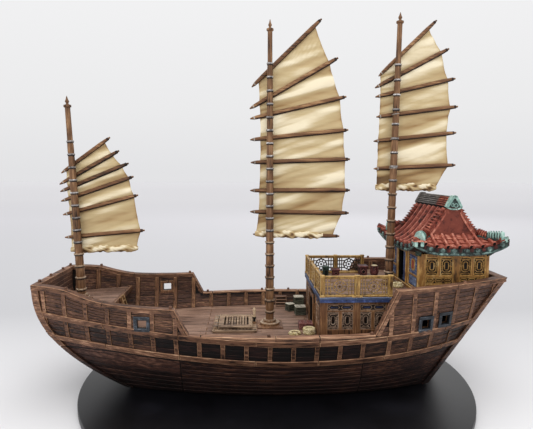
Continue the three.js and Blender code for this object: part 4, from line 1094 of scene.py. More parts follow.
def latticeStrip(bm, place, x0, x1, z0, z1, count, w, paint, line=0.8, heart=None):
    # A chain of long hexagons, each with a bar in it
    outline(bm, place, rectangle(x0, x1, z0, z1), 0.8, w, paint)
    step, middle = (x1 - x0) / count, (z0 + z1) / 2
    for k in range(count):
        cx, rx, rz = x0 + (k + 0.5) * step, step * 0.43, (z1 - z0) * 0.34
        points = [(-1, 0), (-0.68, -1), (0.68, -1), (1, 0), (0.68, 1), (-0.68, 1)]
        outline(bm, place, [(cx + a * rx, middle + b * rz) for a, b in points], line, w, paint)
        inner = paint if heart is None else (heart, heart)
        strip(bm, place, (cx - rx * 0.6, middle), (cx + rx * 0.6, middle), line * 1.3, w, 0.1, None, inner)


deckhouse = {
    "foreX": -55.5, "halfY": 62, "floor": levels["mainDeck"] + 0.4, "sill": 76.4, "head": 97.2,
    "plateLow": 105.9, "top": 109.6, "slotZ": 87.2, "muntinHalf": 1.9,
    "sidePosts": ((-63.1, -55.0), (-101.2, -93.2), (-137, -131.0)),
    "sideBays": ((-131, -101.2), (-93.2, -63.1)),
    "frontPosts": ((54.6, 62.9), (20.3, 24.4)), "frontBay": (24.4, 54.6),
}
roofEdge = {"low": 109.7, "band": 113.7, "lipLow": 113.9, "top": 115.9, "halfY": 68.5, "foreX": -53.7}


def wallPost(bm, place, span):
    board(bm, place, span, (deckhouse["floor"], deckhouse["top"]), (-0.5, 1.0), 1, 4, 0.5)


def wallBay(bm, place, span, line, muntinFirst):
    # A bay between posts: plate, sill and head, lattice with blue hearts, and two carved panels by a muntin
    d = deckhouse
    x0, x1 = span
    middle, half = (x0 + x1) / 2, d["muntinHalf"]
    board(bm, place, span, (d["plateLow"], d["top"]), (-0.5, 0.75), 3, 1, 0.4)
    board(bm, place, span, (d["floor"], d["sill"]), (-1.0, 0.5), 3, 1, 0.4)
    board(bm, place, span, (d["head"], d["head"] + 1.6), (-1.0, 0.4), 3, 1, 0.3)
    # A ground of painted shade behind the lattice
    board(bm, place, (x0 + 0.2, x1 - 0.2), (98.9, 105.8), (-1.1, -0.55), 2, 1, 0.1, None, (3, 3))
    if muntinFirst:
        board(bm, place, about(middle, half), (d["sill"], d["head"]), (-1.0, 0.3), 1, 2, 0.4)
    latticeStrip(bm, place, x0 + 0.4, x1 - 0.4, 99.1, 105.7, 2, (-0.6, 0.2), (4, 4), 0.8, 2)
    if not muntinFirst:
        board(bm, place, about(middle, half), (d["sill"], d["head"]), (-1.0, 0.3), 1, 2, 0.4)
    for a, b in ((x0 + 0.3, middle - half), (middle + half, x1 - 0.3)):
        scrollPanel(bm, place, a + 0.5, b - 0.5, 77, 96.8, d["slotZ"], (-0.9, 0.1), (4, 4), line)


def makeDeckhouse():
    bm = newBm()
    d = deckhouse
    for side in (1, -1):
        place = onWall("y", side * d["halfY"], side)
        for span in d["sidePosts"]:
            wallPost(bm, place, span)
        for span in d["sideBays"]:
            wallBay(bm, place, span, 0.75, True)
    front = onWall("x", d["foreX"], 1)
    for side in (1, -1):
        for span in d["frontPosts"]:
            wallPost(bm, front, sideSpan(side, *span))
        wallBay(bm, front, sideSpan(side, *d["frontBay"]), 0.9, False)
        # Double door frame with cut upper corners
        for inner, out, reach in ((14.2, 16.8, 2.5), (17.2, 20.0, 3.4)):
            board(bm, front, sideSpan(side, inner, out), (d["floor"], 96), (1.0, reach), 1, 3, 0.4)
            foot, head = (side * (inner + out) / 2, 95.4), (side * (inner - 3.4), 101.4 + (out - 16) * 0.8)
            strip(bm, front, foot, head, out - inner, (1.0, reach), 0.3)
    for top, reach in ((101.6, 2.5), (105.0, 3.4)):
        board(bm, front, (-13, 13), (top - 2.6, top), (1.0, reach), 3, 1, 0.4)
    slots = ["houseWood", "houseEdge", "blueDeep", "panelGround", "lattice"]
    landPiece("deckhouseJoinery", bm, slots)


def makeRoofDeck():
    # The roof deck: blue fascia in two steps, and planks
    bm = newBm()
    r = roofEdge
    walls = []
    for side in (1, -1):
        flank = onWall("y", side * r["halfY"], side)
        walls += [(flank, span) for span in ((-95, -53.6), (-136.8, -95.2))]
    front = onWall("x", r["foreX"], 1)
    walls += [(front, span) for span in ((-69.1, -23), (-22.8, 22.8), (23, 69.1))]
    for place, span in walls:
        board(bm, place, span, (r["lipLow"], r["top"]), (-0.6, 0.7), 4, 1, 0.35)
        board(bm, place, span, (r["low"], r["band"]), (-0.6, 0.35), 4, 1, 0.35, None, (2, 3))
    rows, half = 24, 66.8
    for k in range(rows):
        y0 = -half + k * 2 * half / rows
        cut = -78 - (k % 3) * 14
        for span in ((cut + 0.2, -54.6), (-136.4, cut - 0.2)):
            wide = (y0 + 0.25, y0 + 5.3)
            board(bm, flat(levels["roofDeck"]), span, wide, (-0.1, 0.25), 4, 1, 0.2, None, (4, 5))
    slots = ["slate", "slateEdge", "blueDeep", "slate", "deck", "deckEdge"]
    landPiece("roofDeckBoards", bm, slots)


railing = {
    "foreX": -55.9, "aftX": -134.3, "midX": -96.2, "halfY": 66.3, "low": 118.6, "high": 137.4,
    "frontPosts": (22.1, 66.3), "foot": (115.5, 118.0), "cap": (137.9, 140.6),
}


def railingPanel(bm, place, x0, x1, line=0.85):
    # A frame, a round medallion with leaves, and a grid on each side of it
    z0, z1 = railing["low"], railing["high"]
    w = (-0.7, 0.7)
    cx, cz = (x0 + x1) / 2, (z0 + z1) / 2
    ringR = (z1 - z0) / 2 - 1.9
    outline(bm, place, rectangle(x0, x1, z0, z1), 1.3, w)
    outline(bm, place, oval(cx, cz, ringR, ringR, 16), line * 1.25, w)
    outline(bm, place, oval(cx, cz, ringR * 0.52, ringR * 0.52, 10), line * 0.9, w)
    outline(bm, place, oval(cx, cz, 0.9, 0.9, 8), 1.1, (-0.7, 0.85))
    for k in range(8):
        # Leaves of the medallion
        angle = math.pi / 8 + k * math.pi / 4
        reaches = (ringR * 0.55, ringR * 0.98)
        start, end = ((cx + reach * math.cos(angle), cz + reach * math.sin(angle)) for reach in reaches)
        strip(bm, place, start, end, line, w)
    for way, z in ((-1, z0), (1, z1)):
        strip(bm, place, (cx, cz + way * ringR), (cx, z), line * 1.6, w)
    for side in (-1, 1):
        end = x1 if side > 0 else x0
        near = cx + side * ringR
        for z in (cz - 5, cz, cz + 5):
            strip(bm, place, (near - side * (0 if z == cz else 1.7), z), (end, z), line, w)
        for part in (0.3, 0.66):
            x = near + (end - near) * part
            strip(bm, place, (x, z0), (x, z1), line, w)


def railPost(bm, x, y, wide=4.4):
    half = wide / 2
    for over, z, lip in ((0, (115.5, 139.6), 0.4), (0.5, (115.45, 118.2), 0.5), (0.45, (139.4, 141.4), 0.6)):
        block(bm, about(x, half + over), about(y, half + over), z, lip)


def paintInboardShade(bm, inboard):
    # Between the rails, the lattice's inboard faces get painted shade
    bmesh.ops.recalc_face_normals(bm, faces=bm.faces)
    bm.normal_update()
    for f in bm.faces:
        spot = f.calc_center_median()
        isLattice = railing["low"] - 0.7 < spot.z < railing["high"] + 0.4 and f.calc_area() < 40
        if isLattice and abs(abs(spot.y) - railing["halfY"]) < 0.9 and f.normal.dot(inboard) > -0.4:
            f.material_index = 2


def makeRailing():
    r = railing
    for side, line, label in ((1, 0.7, "port"), (-1, 1.15, "starboard")):
        bm = newBm()
        y = side * r["halfY"]
        place = onWall("y", y, side)
        for x in (r["foreX"], r["midX"], r["aftX"]):
            railPost(bm, x, y, 4.9 if x == r["midX"] else 4.4)
        block(bm, about(r["midX"], 6), (y - 2.6, y + 2.9), (115.4, 117.0), 0.5)
        for x0, x1 in ((r["aftX"] + 2.2, r["midX"] - 2.4), (r["midX"] + 2.4, r["foreX"] - 2.2)):
            railingPanel(bm, place, x0 + 0.5, x1 - 0.5, line)
            block(bm, (x0, x1), about(y, 1.5), r["cap"], 0.6)
            block(bm, (x0, x1), about(y, 1.3), r["foot"], 0.5)
        paintInboardShade(bm, Vector((0, -side, 0)))
        slots = ["railGold", "railGoldEdge", "goldInPaintedShade"]
        landPiece(f"railing_{label}", bm, slots, "ship", ["roof_railing"])
    bm = newBm()
    front = onWall("x", r["foreX"], 1)
    inner, outer = r["frontPosts"]
    for y in (-inner, inner):
        railPost(bm, r["foreX"], y)
    for y0, y1 in ((-outer + 2.2, -inner - 2.2), (-inner + 2.2, inner - 2.2), (inner + 2.2, outer - 2.2)):
        railingPanel(bm, front, y0 + 0.5, y1 - 0.5)
        block(bm, about(r["foreX"], 1.5), (y0, y1), r["cap"], 0.6)
        block(bm, about(r["foreX"], 1.3), (y0, y1), r["foot"], 0.5)
    landPiece("railing_front", bm, ["railGold", "railGoldEdge"], "ship", ["roof_railing"])


pavilion = {
    "foreX": -170.5, "aftX": -254, "halfY": 54, "top": 163, "slotZ": 148.6, "midPost": (-219.8, -211.8),
    "front": {"posts": ((52.2, 54.8), (14.6, 23.4)), "foot": 120, "bay": (23.4, 52.2)},
    "back": {"posts": ((50.5, 54.8), (15, 21)), "foot": 138, "bay": (21, 50.5)},
    "panelLow": (121.6, 133.8), "panelHigh": (136.2, 158.8),
}


def frontPanels(bm, front, at, y0, y1):
    # A blue panel of small lights with a red oval, and a lattice below it
    (low, lowTop), (foot, head) = pavilion["panelLow"], pavilion["panelHigh"]
    board(bm, front, (y0, y1), (133.8, 136.2), (-1.0, 0.8), 3, 1, 0.4)
    board(bm, front, (y0, y1), (119.8, 121.6), (-1.0, 0.8), 3, 1, 0.4)
    board(bm, front, (y0, y1), (low, lowTop), (-1.2, -0.6), 1, 1, 0.1, None, (2, 2))
    board(bm, front, (y0, y1), (foot, head), (-1.2, -0.6), 1, 1, 0.1, None, (2, 2))
    middle, wide = (y0 + y1) / 2, y1 - y0

    def glazingBar(start, end, thick=0.55):
        strip(bm, front, start, end, thick, (-0.7, 0.1), 0.1, None, (3, 3))

    for k in range(1, 7):
        z = foot + k * (head - foot) / 7
        besideOval = 143 < z < 153
        glazingBar((y0, z), (middle - 5.6 if besideOval else y1, z))
        if besideOval:
            glazingBar((middle + 5.6, z), (y1, z))
        u = y0 + k * wide / 7
        if abs(u - middle) > 5:
            glazingBar((u, foot), (u, head))
        a, b = y0 + (k - 1) * wide / 6, y0 + k * wide / 6
        glazingBar((a, low + 0.2), (b, lowTop - 0.2), 0.5)
        glazingBar((b, low + 0.2), (a, lowTop - 0.2), 0.5)
    block(bm, (at - 0.8, at + 0.3), about(middle, 4.2), (142.4, 152.8), 0.3, 0, (4, 4))
    outline(bm, front, cutBox(middle, 147.6, 5, 6.2, 2.6), 1.3, (-0.7, 0.9), (1, 1))


def makePavilion():
    bm = newBm()
    p = pavilion
    p0, p1 = p["midPost"]
    for side in (1, -1):
        place = onWall("y", side * p["halfY"], side)
        for x0, x1 in ((-179.2, -170.0), (p0, p1), (-254.6, -250.4)):
            board(bm, place, (x0, x1), (128 if x1 < -200 else 118, p["top"]), (-0.6, 1.0), 1, 4, 0.5)
        for x0, x1 in ((-250.4, p0), (p1, -179.2)):
            board(bm, place, (x0, x1), (158.6, p["top"]), (-0.6, 0.8), 3, 1, 0.4)
            board(bm, place, (x0, x1), (134.9, 137.0), (-1.0, 0.7), 3, 1, 0.4)
            middle = (x0 + x1) / 2
            board(bm, place, about(middle, 1.3), (137, 158.6), (-1.0, 0.5), 1, 2, 0.4)
            for a, b in ((x0 + 0.2, middle - 1.3), (middle + 1.3, x1 - 0.2)):
                scrollPanel(bm, place, a + 0.4, b - 0.4, 137.4, 158.3, p["slotZ"], (-1.3, 0.3), (1, 0), 0.8)
            latticeStrip(bm, place, x0 + 0.5, x1 - 0.5, 127.6, 134.4, 3, (-1.3, 0.3), (1, 0), 0.75)
            board(bm, place, (x0, x1), (125.2, 127.2), (-0.9, 0.6), 3, 1, 0.4)
    for at, outward, wall in ((p["foreX"], 1, p["front"]), (p["aftX"], -1, p["back"])):
        face = onWall("x", at, outward)
        for side in (1, -1):
            for span in wall["posts"]:
                board(bm, face, sideSpan(side, *span), (wall["foot"], p["top"]), (-0.6, 1.0), 1, 4, 0.5)
            bay = sideSpan(side, *wall["bay"])
            board(bm, face, bay, (158.8, p["top"]), (-0.6, 0.8), 3, 1, 0.4)
            if wall is p["front"]:
                frontPanels(bm, face, at, *bay)
        board(bm, face, (-14.6, 14.6), (158.2, p["top"]), (-0.6, 1.0), 3, 1, 0.4)
    # The doorway's step and jambs
    front = onWall("x", p["foreX"], 1)
    board(bm, front, (-54.4, 54.4), (115.6, 119.8), (-0.5, 2.2), 8, 1, 0.6)
    for side in (1, -1):
        board(bm, front, sideSpan(side, 14.1, 16.0), (119.8, 159.4), (0.6, 1.8), 1, 4, 0.35, None, (1, 1))
    slots = ["gold", "goldEdge", "blueDeep", "slateEdge", "redPanel"]
    landPiece("pavilionJoinery", bm, slots)


door = {
    "stiles": ((0.6, 2.0), (10.2, 11.7)), "rails": ((120.6, 123), (133, 134.6), (155.6, 157.4)),
    "muntins": (4.7, 7.4),
}


def makeDoorLeaf():
    # The blue door leaf: stiles, rails and rows of square lights
    bm = newBm()
    leaf = onWall("x", pavilion["foreX"] - 0.7, 1)
    (_, left), (right, _) = door["stiles"]
    foot, head = door["rails"][0][0], door["rails"][-1][1]
    bars = [(span, (foot, head)) for span in door["stiles"]]
    bars += [((left, right), span) for span in door["rails"]]
    for across, z in bars:
        board(bm, leaf, across, z, (-0.2, 0.5), 1, 1, 0.25)
    low, high = door["rails"][1][1], door["rails"][2][0]
    for k in range(1, 6):
        strip(bm, leaf, (left, low + k * 3.5), (right, low + k * 3.5), 0.5, (-0.2, 0.35), 0.1)
    for u in door["muntins"]:
        strip(bm, leaf, (u, low), (u, high), 0.5, (-0.2, 0.35), 0.1)
    landPiece("doorLeafJoinery", bm, ["blueDeep", "slateEdge"], "pavilion_leaf", None)


# The walls behind the joinery are a ground of painted shade
paintNode(["deckhouse_walls", "pavilion_walls"], "panelGround")
paintNode(["deckhouse_roof"], "slate")
paintNode(["pavilion_door"], "blueDeep")
makeDeckhouse()
makeRoofDeck()
makeRailing()
makePavilion()
makeDoorLeaf()
print("houses dressed")


# Pavilion roof: u runs fore and aft, v to the sides, both from -1 to 1 at the eaves
roof = {
    "x": -212, "halfX": 51, "halfY": 70, "flareX": 3.6, "flareY": 4.4,
    "ridgeZ": 229, "eaveZ": 171.3, "sag": 1.7, "lift": 12, "gableY": 47.5, "gableBase": 184,
    "underside": 163.4,
}
gableV = roof["gableY"] / roof["halfY"]
tiles = {"columns": 19, "columnStep": 7.2, "rolls": 7, "rollStep": 12.6, "verge": 9, "vergeStep": 0.046}
ridge = {"halfY": 52.5, "bottom": 218, "top": 229.4, "foot": 8.2, "head": 2.0, "capFrom": 45.5, "redFrom": 18}


def slopeHigh(u):
    return roof["eaveZ"] + (roof["ridgeZ"] - roof["eaveZ"]) * max(0.0, 1 - abs(u)) ** roof["sag"]


def skirtHigh(v):
    down = max(0.0, (abs(v) - gableV) / (1 - gableV)) ** 0.8
    return roof["gableBase"] + (roof["eaveZ"] - roof["gableBase"]) * down


def roofAt(u, v, high):
    lift = roof["lift"] * (abs(u) * abs(v)) ** 3.5
    x = roof["x"] + u * (roof["halfX"] + roof["flareX"] * abs(v) ** 4)
    return Vector((x, v * (roof["halfY"] + roof["flareY"] * abs(u) ** 4), high + lift))


def offRoof(shape, u, v, w):
    # A point w mm off the slope or the skirt, square to it
    spot, e = shape(u, v), 0.012
    normal = (shape(u + e, v) - shape(u - e, v)).cross(shape(u, v + e) - shape(u, v - e)).normalized()
    return spot + normal * (w if normal.z > 0 else -w)


def slopeSpot(u, v):
    return roofAt(u, v, slopeHigh(u))


def skirtSpot(u, v):
    return roofAt(u, v, skirtHigh(v))


def hipU(v):
    # Where the skirt at v meets the slope
    rise = (skirtHigh(v) - roof["eaveZ"]) / (roof["ridgeZ"] - roof["eaveZ"])
    return 1 - max(0.0, rise) ** (1 / roof["sag"])


def skirtTop(u):
    # The skirt's tiles start at the gable, or at the hip near the corners
    if abs(u) <= 0.585:
        return gableV
    low, high = gableV, 1.0
    for _ in range(24):
        middle = (low + high) / 2
        low, high = (middle, high) if hipU(middle) < abs(u) else (low, middle)
    return low


def thickGrid(bm, steps, sides):
    # Two grids closed round their edge: gives the lower and the upper one's corners, and how far they reach
    low = set(bmesh.ops.create_grid(bm, x_segments=steps, y_segments=sides, size=1.0)["verts"])
    layer = facesOf(low)
    grown = bmesh.ops.extrude_face_region(bm, geom=[*layer, *edgesOf(layer)], use_keep_orig=True)
    top = {item for item in grown["geom"] if isinstance(item, bmesh.types.BMVert)}
    return low, top, max(vert.co.x for vert in low)


def coverTile(bm, surface, steps, sides, high, face=0):
    # A half-round tile over surface(a, t, w): a runs down it, t across it from -1 to 1, w is the height
    tone = dice.uniform(-1, 1)
    low, top, reach = thickGrid(bm, steps, sides)
    for f in facesOf(low | top):
        isCrest = abs(f.calc_center_median().y / reach) < 0.42 and all(vert in top for vert in f.verts)
        paintFaces(bm, [f], 1 if isCrest else face, tone)
    for vert in low | top:
        a, t = vert.co.x / reach / 2 + 0.5, vert.co.y / reach
        vert.co = surface(a, t, high * math.sqrt(max(0.0, 1 - 0.97 * t * t)) if vert in top else -0.9)


def disc(bm, place, radius1, radius2, deep, segments, face, tone):
    made = bmesh.ops.create_cone(
        bm, cap_ends=True, segments=segments, radius1=radius1, radius2=radius2, depth=deep, matrix=place,
    )
    paintFaces(bm, facesOf(made["verts"]), face, tone)
    return made["verts"]


def tileEnd(bm, centre, outward, radius, deep, face=0, hole=None):
    # A round tile end, plain or with a sunk middle in painted shade
    way = Vector(outward).normalized()
    place = Matrix.Translation(centre) @ turnTo(way)
    verts = disc(bm, place, radius, radius, deep, 14, face, dice.uniform(-1, 1))
    if hole is None:
        return
    ends = [f for f in facesOf(verts) if len(f.verts) > 4]
    front = max(ends, key=lambda f: f.calc_center_median().dot(way))
    bmesh.ops.inset_region(bm, faces=[front], thickness=radius * 0.3, use_even_offset=True)
    front.material_index = hole
    bmesh.ops.translate(bm, vec=-way * deep * 0.4, verts=list(front.verts))


def makeRoofBase():
    # The roof's body under its tiles, a grid of heights with a flat underside
    bm = newBm()
    low, top, reach = thickGrid(bm, 48, 56)
    for vert in low | top:
        u, v = vert.co.x / reach, vert.co.y / reach
        high = roof["underside"]
        if vert in top:
            high = min(slopeHigh(u), ridge["bottom"] - 0.4)
            if abs(v) > gableV - 0.004:
                high = min(high, skirtHigh(v))
        vert.co = roofAt(u, v, high)
    landPiece("roofBase", bm, ["tileGroove"], "ship", ["pavilion_roof"])


tileSlots = [
    "tile", "tileEdge", "tileGroove", "verdigrisWorn", "verdigrisDark", "gable", "blackPaintAndShade", "tilePan",
]


def makeSlope(name, way):
    # A long slope: rolls and flatter pans by turns, drip tiles, and two rows of steps along each verge
    bm = newBm()
    for k in range(tiles["columns"]):
        y, isRoll = (k - 9) * tiles["columnStep"], k % 2 == 1
        wide = 2.9 if isRoll else 2.75

        def onColumn(a, t, w):
            v = (y + wide * t) / roof["halfY"]
            top = max(0.15, hipU(v) if abs(v) > gableV else 0)
            return offRoof(slopeSpot, way * (top + a * (0.985 - top)), v, w)

        coverTile(bm, onColumn, 14, 8 if isRoll else 5, 3.5 if isRoll else 0.9, 0 if isRoll else 7)
        v = y / roof["halfY"]
        if isRoll:
            tileEnd(bm, offRoof(slopeSpot, way * 0.985, v, 1.3), (way, 0, -0.25), 2.7, 2.4, 1, 6)
        drip = roofAt(way, v, roof["eaveZ"] - 2.2) + Vector((way * 0.5, 0, 0))
        tileEnd(bm, drip, (way, 0, -0.1), 2.5, 1.6, 7 if isRoll else 3)
    for side in (1, -1):
        for middle in (38.2, 43.9):
            for step in range(tiles["verge"]):
                u0 = 0.17 + step * tiles["vergeStep"]

                def onStep(a, t, w):
                    v = side * (middle + 2.45 * t) / roof["halfY"]
                    return offRoof(slopeSpot, way * (u0 + a * 0.034), v, w + (1.6 + 2.2 * a if w > 0 else 0))

                coverTile(bm, onStep, 1, 6, 2.2)
    landPiece(name, bm, tileSlots)


def makeSkirt(name, side):
    # A side skirt: wide cover tiles with stepped flats between them, and the gable with its borders
    bm = newBm()
    rolls = [roof["x"] + (k - 3) * tiles["rollStep"] for k in range(tiles["rolls"])]
    half = tiles["rollStep"] / 2
    for x in rolls:
        def onRoll(a, t, w):
            u = (x - roof["x"] + 2.3 * t) / roof["halfX"]
            top = skirtTop(u)
            return offRoof(skirtSpot, u, side * (top + a * (0.97 - top)), w)

        coverTile(bm, onRoll, 8, 8, 3.4)
        u = (x - roof["x"]) / roof["halfX"]
        tileEnd(bm, offRoof(skirtSpot, u, side * 0.975, 1.5), (0, side, -0.5), 2.7, 2.4, 1, 6)
        drip = roofAt(u, side, roof["eaveZ"] - 2) + Vector((0, side * 0.5, 0))
        tileEnd(bm, drip, (0, side, -0.1), 2.2, 1.6, 7)
    for x in [*(at + half for at in rolls[:-1]), rolls[0] - half, rolls[-1] + half]:
        for step in range(3):
            def onFlat(a, t, w):
                u = (x - roof["x"] + 3.9 * t) / roof["halfX"]
                top, part = skirtTop(u), (step + a * 1.06) / 3
                rise = 0.3 + 1.5 * a if w > 0 else 0
                return offRoof(skirtSpot, u, side * (top + part * (0.985 - top)), w + rise)

            coverTile(bm, onFlat, 2, 4, 0.8)
        drip = roofAt((x - roof["x"]) / roof["halfX"], side, roof["eaveZ"] - 2.1) + Vector((0, side * 0.6, 0))
        tileEnd(bm, drip, (0, side, -0.1), 2.6, 1.6, 3)
    gableFace = onWall("y", side * roof["gableY"], side)

    def onGable(u, b, w):
        top = min(slopeHigh(u) - 0.4, ridge["bottom"] - 0.5)
        return gableFace(roof["x"] + u * roof["halfX"], 183 + b * (top - 183), w)

    board(bm, onGable, (-0.56, 0.56), (0, 1), (-0.8, 0.5), 20, 3, 0.1, 0, (5, 5))
    for way in (1, -1):
        def onBorder(u, b, w):
            return gableFace(roof["x"] + way * u * roof["halfX"], slopeHigh(u) - 5.4 + b * 3.2, w)

        def onBarge(u, b, w):
            return gableFace(roof["x"] + way * u * roof["halfX"], slopeHigh(u) - 2.2 + b * 3.6, w)

        board(bm, onBorder, (0.17, 0.585), (0, 1), (0.2, 1.7), 10, 1, 0.4, None, (1, 1))
        for step in range(tiles["verge"]):
            u0 = 0.175 + step * tiles["vergeStep"]
            board(bm, onBarge, (u0 + 0.004, u0 + 0.04), (0, 1), (-0.6, 1.4), 1, 1, 0.5)
    landPiece(name, bm, tileSlots)


# Hip ridges: two corners of their line, and for the fore and aft ones how far out they end and their rings
hips = {
    "start": (30.5, 48.6, 188.2), "bend": (37, 54.6, 184.8), "endZ": 184.9,
    "fore": (42.6, 9), "aft": (50.7, 11),
}
above = Vector((0, 0, 1))


def hipRings(bm, way, side):
    # A hip ridge of rings, red then green, with painted shade in the grooves between them, down to a
    # half-round plate
    out, rings = hips["fore"] if way > 0 else hips["aft"]
    start, bend = Vector(hips["start"]), Vector(hips["bend"])
    end = Vector((out, bend.y + (out - bend.x) * 0.7, hips["endZ"]))
    for k in range(rings):
        part = k / (rings - 1)
        spot = start.lerp(bend, part / 0.4) if part < 0.4 else bend.lerp(end, (part - 0.4) / 0.6)
        run = (bend - start if part < 0.4 else end - bend).normalized()
        centre = Vector((roof["x"] + way * spot.x, side * spot.y, spot.z))
        place = Matrix.Translation(centre) @ turnTo((way * run.x, side * run.y, run.z))
        radius = 4.3 + 0.9 * part
        pale, dark = (0, 5) if part < 0.42 else (2, 4)
        disc(bm, place, radius - 0.5, radius + 0.5, 1.8, 20, pale, dice.uniform(-0.3, 1.2))
        disc(bm, place, radius - 1.5, radius - 1.5, 2.8, 20, dark, dice.uniform(-0.3, 1.2))
        if part > 0.55:
            ball(bm, centre + Vector((0, 0, radius + 0.2)), 0.9, 1, 2)
    # The bar under the rings is in painted shade
    hipFoot = Vector((roof["x"] + way * 31, side * 49.2, 181))
    foot = Vector((roof["x"] + way * (out - 3), side * (end.y - 2), 178))
    bar(bm, hipFoot, foot, 6.4, 9, above, 0.6, None, (3, 3))
    plate = Vector((roof["x"] + way * (out + 1.1), side * (end.y + 1.6), 179.4))
    for vert in disc(bm, turnTo((way * 16, side * 10, 0)), 7.6, 6.8, 2.6, 28, 2, 1.5):
        vert.co.z *= 1.5 if vert.co.z > 0 else 0.3
        vert.co += plate


def cornerTip(bm, way, side):
    # The drawn-out corner with its cap, a wide hollow one fore with painted shade in the hollow and a small
    # one aft, and the beam beneath
    tip = roofAt(way, side, roof["eaveZ"])
    inner = roofAt(way * 0.86, side * 0.86, roof["eaveZ"] + 3.4)
    run = (tip - inner).normalized()
    bar(bm, inner, tip - run * 2.5, 5.2, 3.4, above, 0.5)
    if way > 0:
        x = roof["x"] + 49
        for across in ((x - 5.4, x - 1.6), (x + 1.6, x + 5.4)):
            block(bm, across, sideSpan(side, 68, 75.6), (174.6, 180.2), 0.5, 2, (2, 2))
        block(bm, about(x, 1.8), sideSpan(side, 68, 75), (174.8, 180), 0.2, 0, (4, 4))
        block(bm, about(x, 6), sideSpan(side, 67, 76), (180, 181.4), 0.4, 1, (1, 1))
    else:
        bar(bm, tip - run * 6, tip - run * 2.2, 5.4, 4.4, above, 0.6, 1.0, (2, 2))
    beam = Vector((roof["x"] + way * 41, side * 53.5, 162.5))
    bar(bm, beam, tip - run * 9 - Vector((0, 0, 5.5)), 4.2, 4.6, above, 0.6, None, (3, 3))


def makeHips():
    bm = newBm()
    for way in (1, -1):
        for side in (1, -1):
            hipRings(bm, way, side)
            cornerTip(bm, way, side)
    slots = ["tile", "tileEdge", "verdigris", "verdigrisDark", "blackPaintAndShade", "tileGroove"]
    landPiece("hipRidges", bm, slots)


def makeEaves():
    # Eave boards: a band in painted shade behind the drips, with a row of green lens-shaped scallops along
    # its foot
    bm = newBm()
    scallopStep = 11.5
    for axis, way in (("x", 1), ("x", -1), ("y", 1), ("y", -1)):
        half = roof["halfY"] if axis == "x" else roof["halfX"]

        def onEave(a, z, w):
            base = roofAt(way, a, roof["eaveZ"]) if axis == "x" else roofAt(a, way, roof["eaveZ"])
            out = Vector((way, 0, 0)) if axis == "x" else Vector((0, way, 0))
            return base + out * (w - 0.6) + Vector((0, 0, z))

        board(bm, onEave, (-0.985, 0.985), (-7.7, -0.6), (-0.8, 0.75), 44, 1, 0.1, 0, (1, 1))
        board(bm, onEave, (-0.97, 0.97), (-8.1, -7.0), (-0.8, 1.3), 44, 1, 0.3, 0, (1, 0))
        count = int(2 * half * 0.94 / scallopStep)
        for k in range(count):
            middle = (k - (count - 1) / 2) * scallopStep / half

            def onScallop(t, s, w):
                high = 2.3 * math.sqrt(max(0.02, 1 - t * t))
                return onEave(middle + t * 5.3 / half, -7.1 + s * high, w + 1.1 * (1 - t * t) * (w > 0))

            board(bm, onScallop, (-1, 1), (0, 1), (-0.4, 1.0), 8, 1, 0.2, dice.uniform(-0.5, 1.5), (0, 0))
    landPiece("eaveBand", bm, ["verdigrisWorn", "verdigrisDark"])


def makeRidge():
    bm = newBm()
    r = ridge
    tall, capFrom, capTo = r["top"] - r["bottom"], r["capFrom"], r["halfY"] - 0.4
    lean = Vector((tall, 0, r["foot"] - r["head"])).normalized()
    for way in (1, -1):
        def onRidge(y, s, w):
            x = way * (r["foot"] - (r["foot"] - r["head"]) * s + lean.x * w)
            return Vector((roof["x"] + x, y, r["bottom"] + tall * s + lean.z * w))

        for y0, y1, face in ((-capFrom, r["redFrom"], 0), (r["redFrom"], capFrom, 2)):
            for k in range(5):
                span = (k * 0.2, k * 0.2 + 0.115)
                board(bm, onRidge, (y0, y1), span, (-1.6, 1.0), 6, 1, 0.35, None, (face, face + 1))
        # A dark board under the grooved boards: dark between the grooves, and a painted shadow along the
        # ridge's foot
        board(bm, onRidge, (-capFrom, capFrom), (-0.04, 1.02), (-2.4, 0.1), 6, 1, 0.1, 0, (6, 6))
        for side, paint in ((1, (4, 4)), (-1, (0, 0))):
            ends = sideSpan(side, capFrom - 0.3, capTo)
            board(bm, onRidge, ends, (-0.06, 1.06), (-1.6, 1.5), 2, 2, 0.4, 0.6, paint)
    low, top = r["top"] - 2.4, r["top"] + 1.6
    block(bm, about(roof["x"], 2.4), (-capFrom, capFrom), (low, r["top"] + 0.5), 0.6, 0)
    block(bm, about(roof["x"], 3), (-capTo, -capFrom), (low, top), 0.6, 1, (0, 0))
    block(bm, about(roof["x"], 3), (capFrom, capTo), (low, top), 0.6, 1, (4, 4))
    for side in (1, -1):
        end = onWall("y", side * (r["halfY"] - 1.2), side)

        def onEnd(a, b, w):
            return end(roof["x"] + a * (1 - 0.82 * b) * 7.8, r["bottom"] - 1 + b * 12.6, w)

        board(bm, onEnd, (-1, 1), (0, 1), (-3, 0.4), 4, 4, 0.2, 0, (5, 5))
        low, high = r["bottom"] - 1.2, r["top"] + 1.2
        rim = [(-8.4, low), (-3.4, low - 1.8), (3.4, low - 1.8), (8.4, low), (0, high)]
        outline(bm, end, [(roof["x"] + x, z) for x, z in rim], 1.6, (-0.6, 1.2), (4, 4), 0.9)
        outline(bm, end, oval(roof["x"] - 1.8, low + 2.6, 2.2, 2.2, 9), 1.0, (-0.3, 0.9), (4, 4), 0.4)
        outline(bm, end, oval(roof["x"] + 2.4, low + 3.2, 1.7, 1.7, 9), 0.9, (-0.3, 0.9), (4, 4), 0.4)
    slots = ["ridge", "ridgeEdge", "tile", "tileEdge", "verdigris", "verdigrisDark", "blackPaintAndShade"]
    landPiece("ridgeRoll", bm, slots, "ship", ["roof_ridge"])


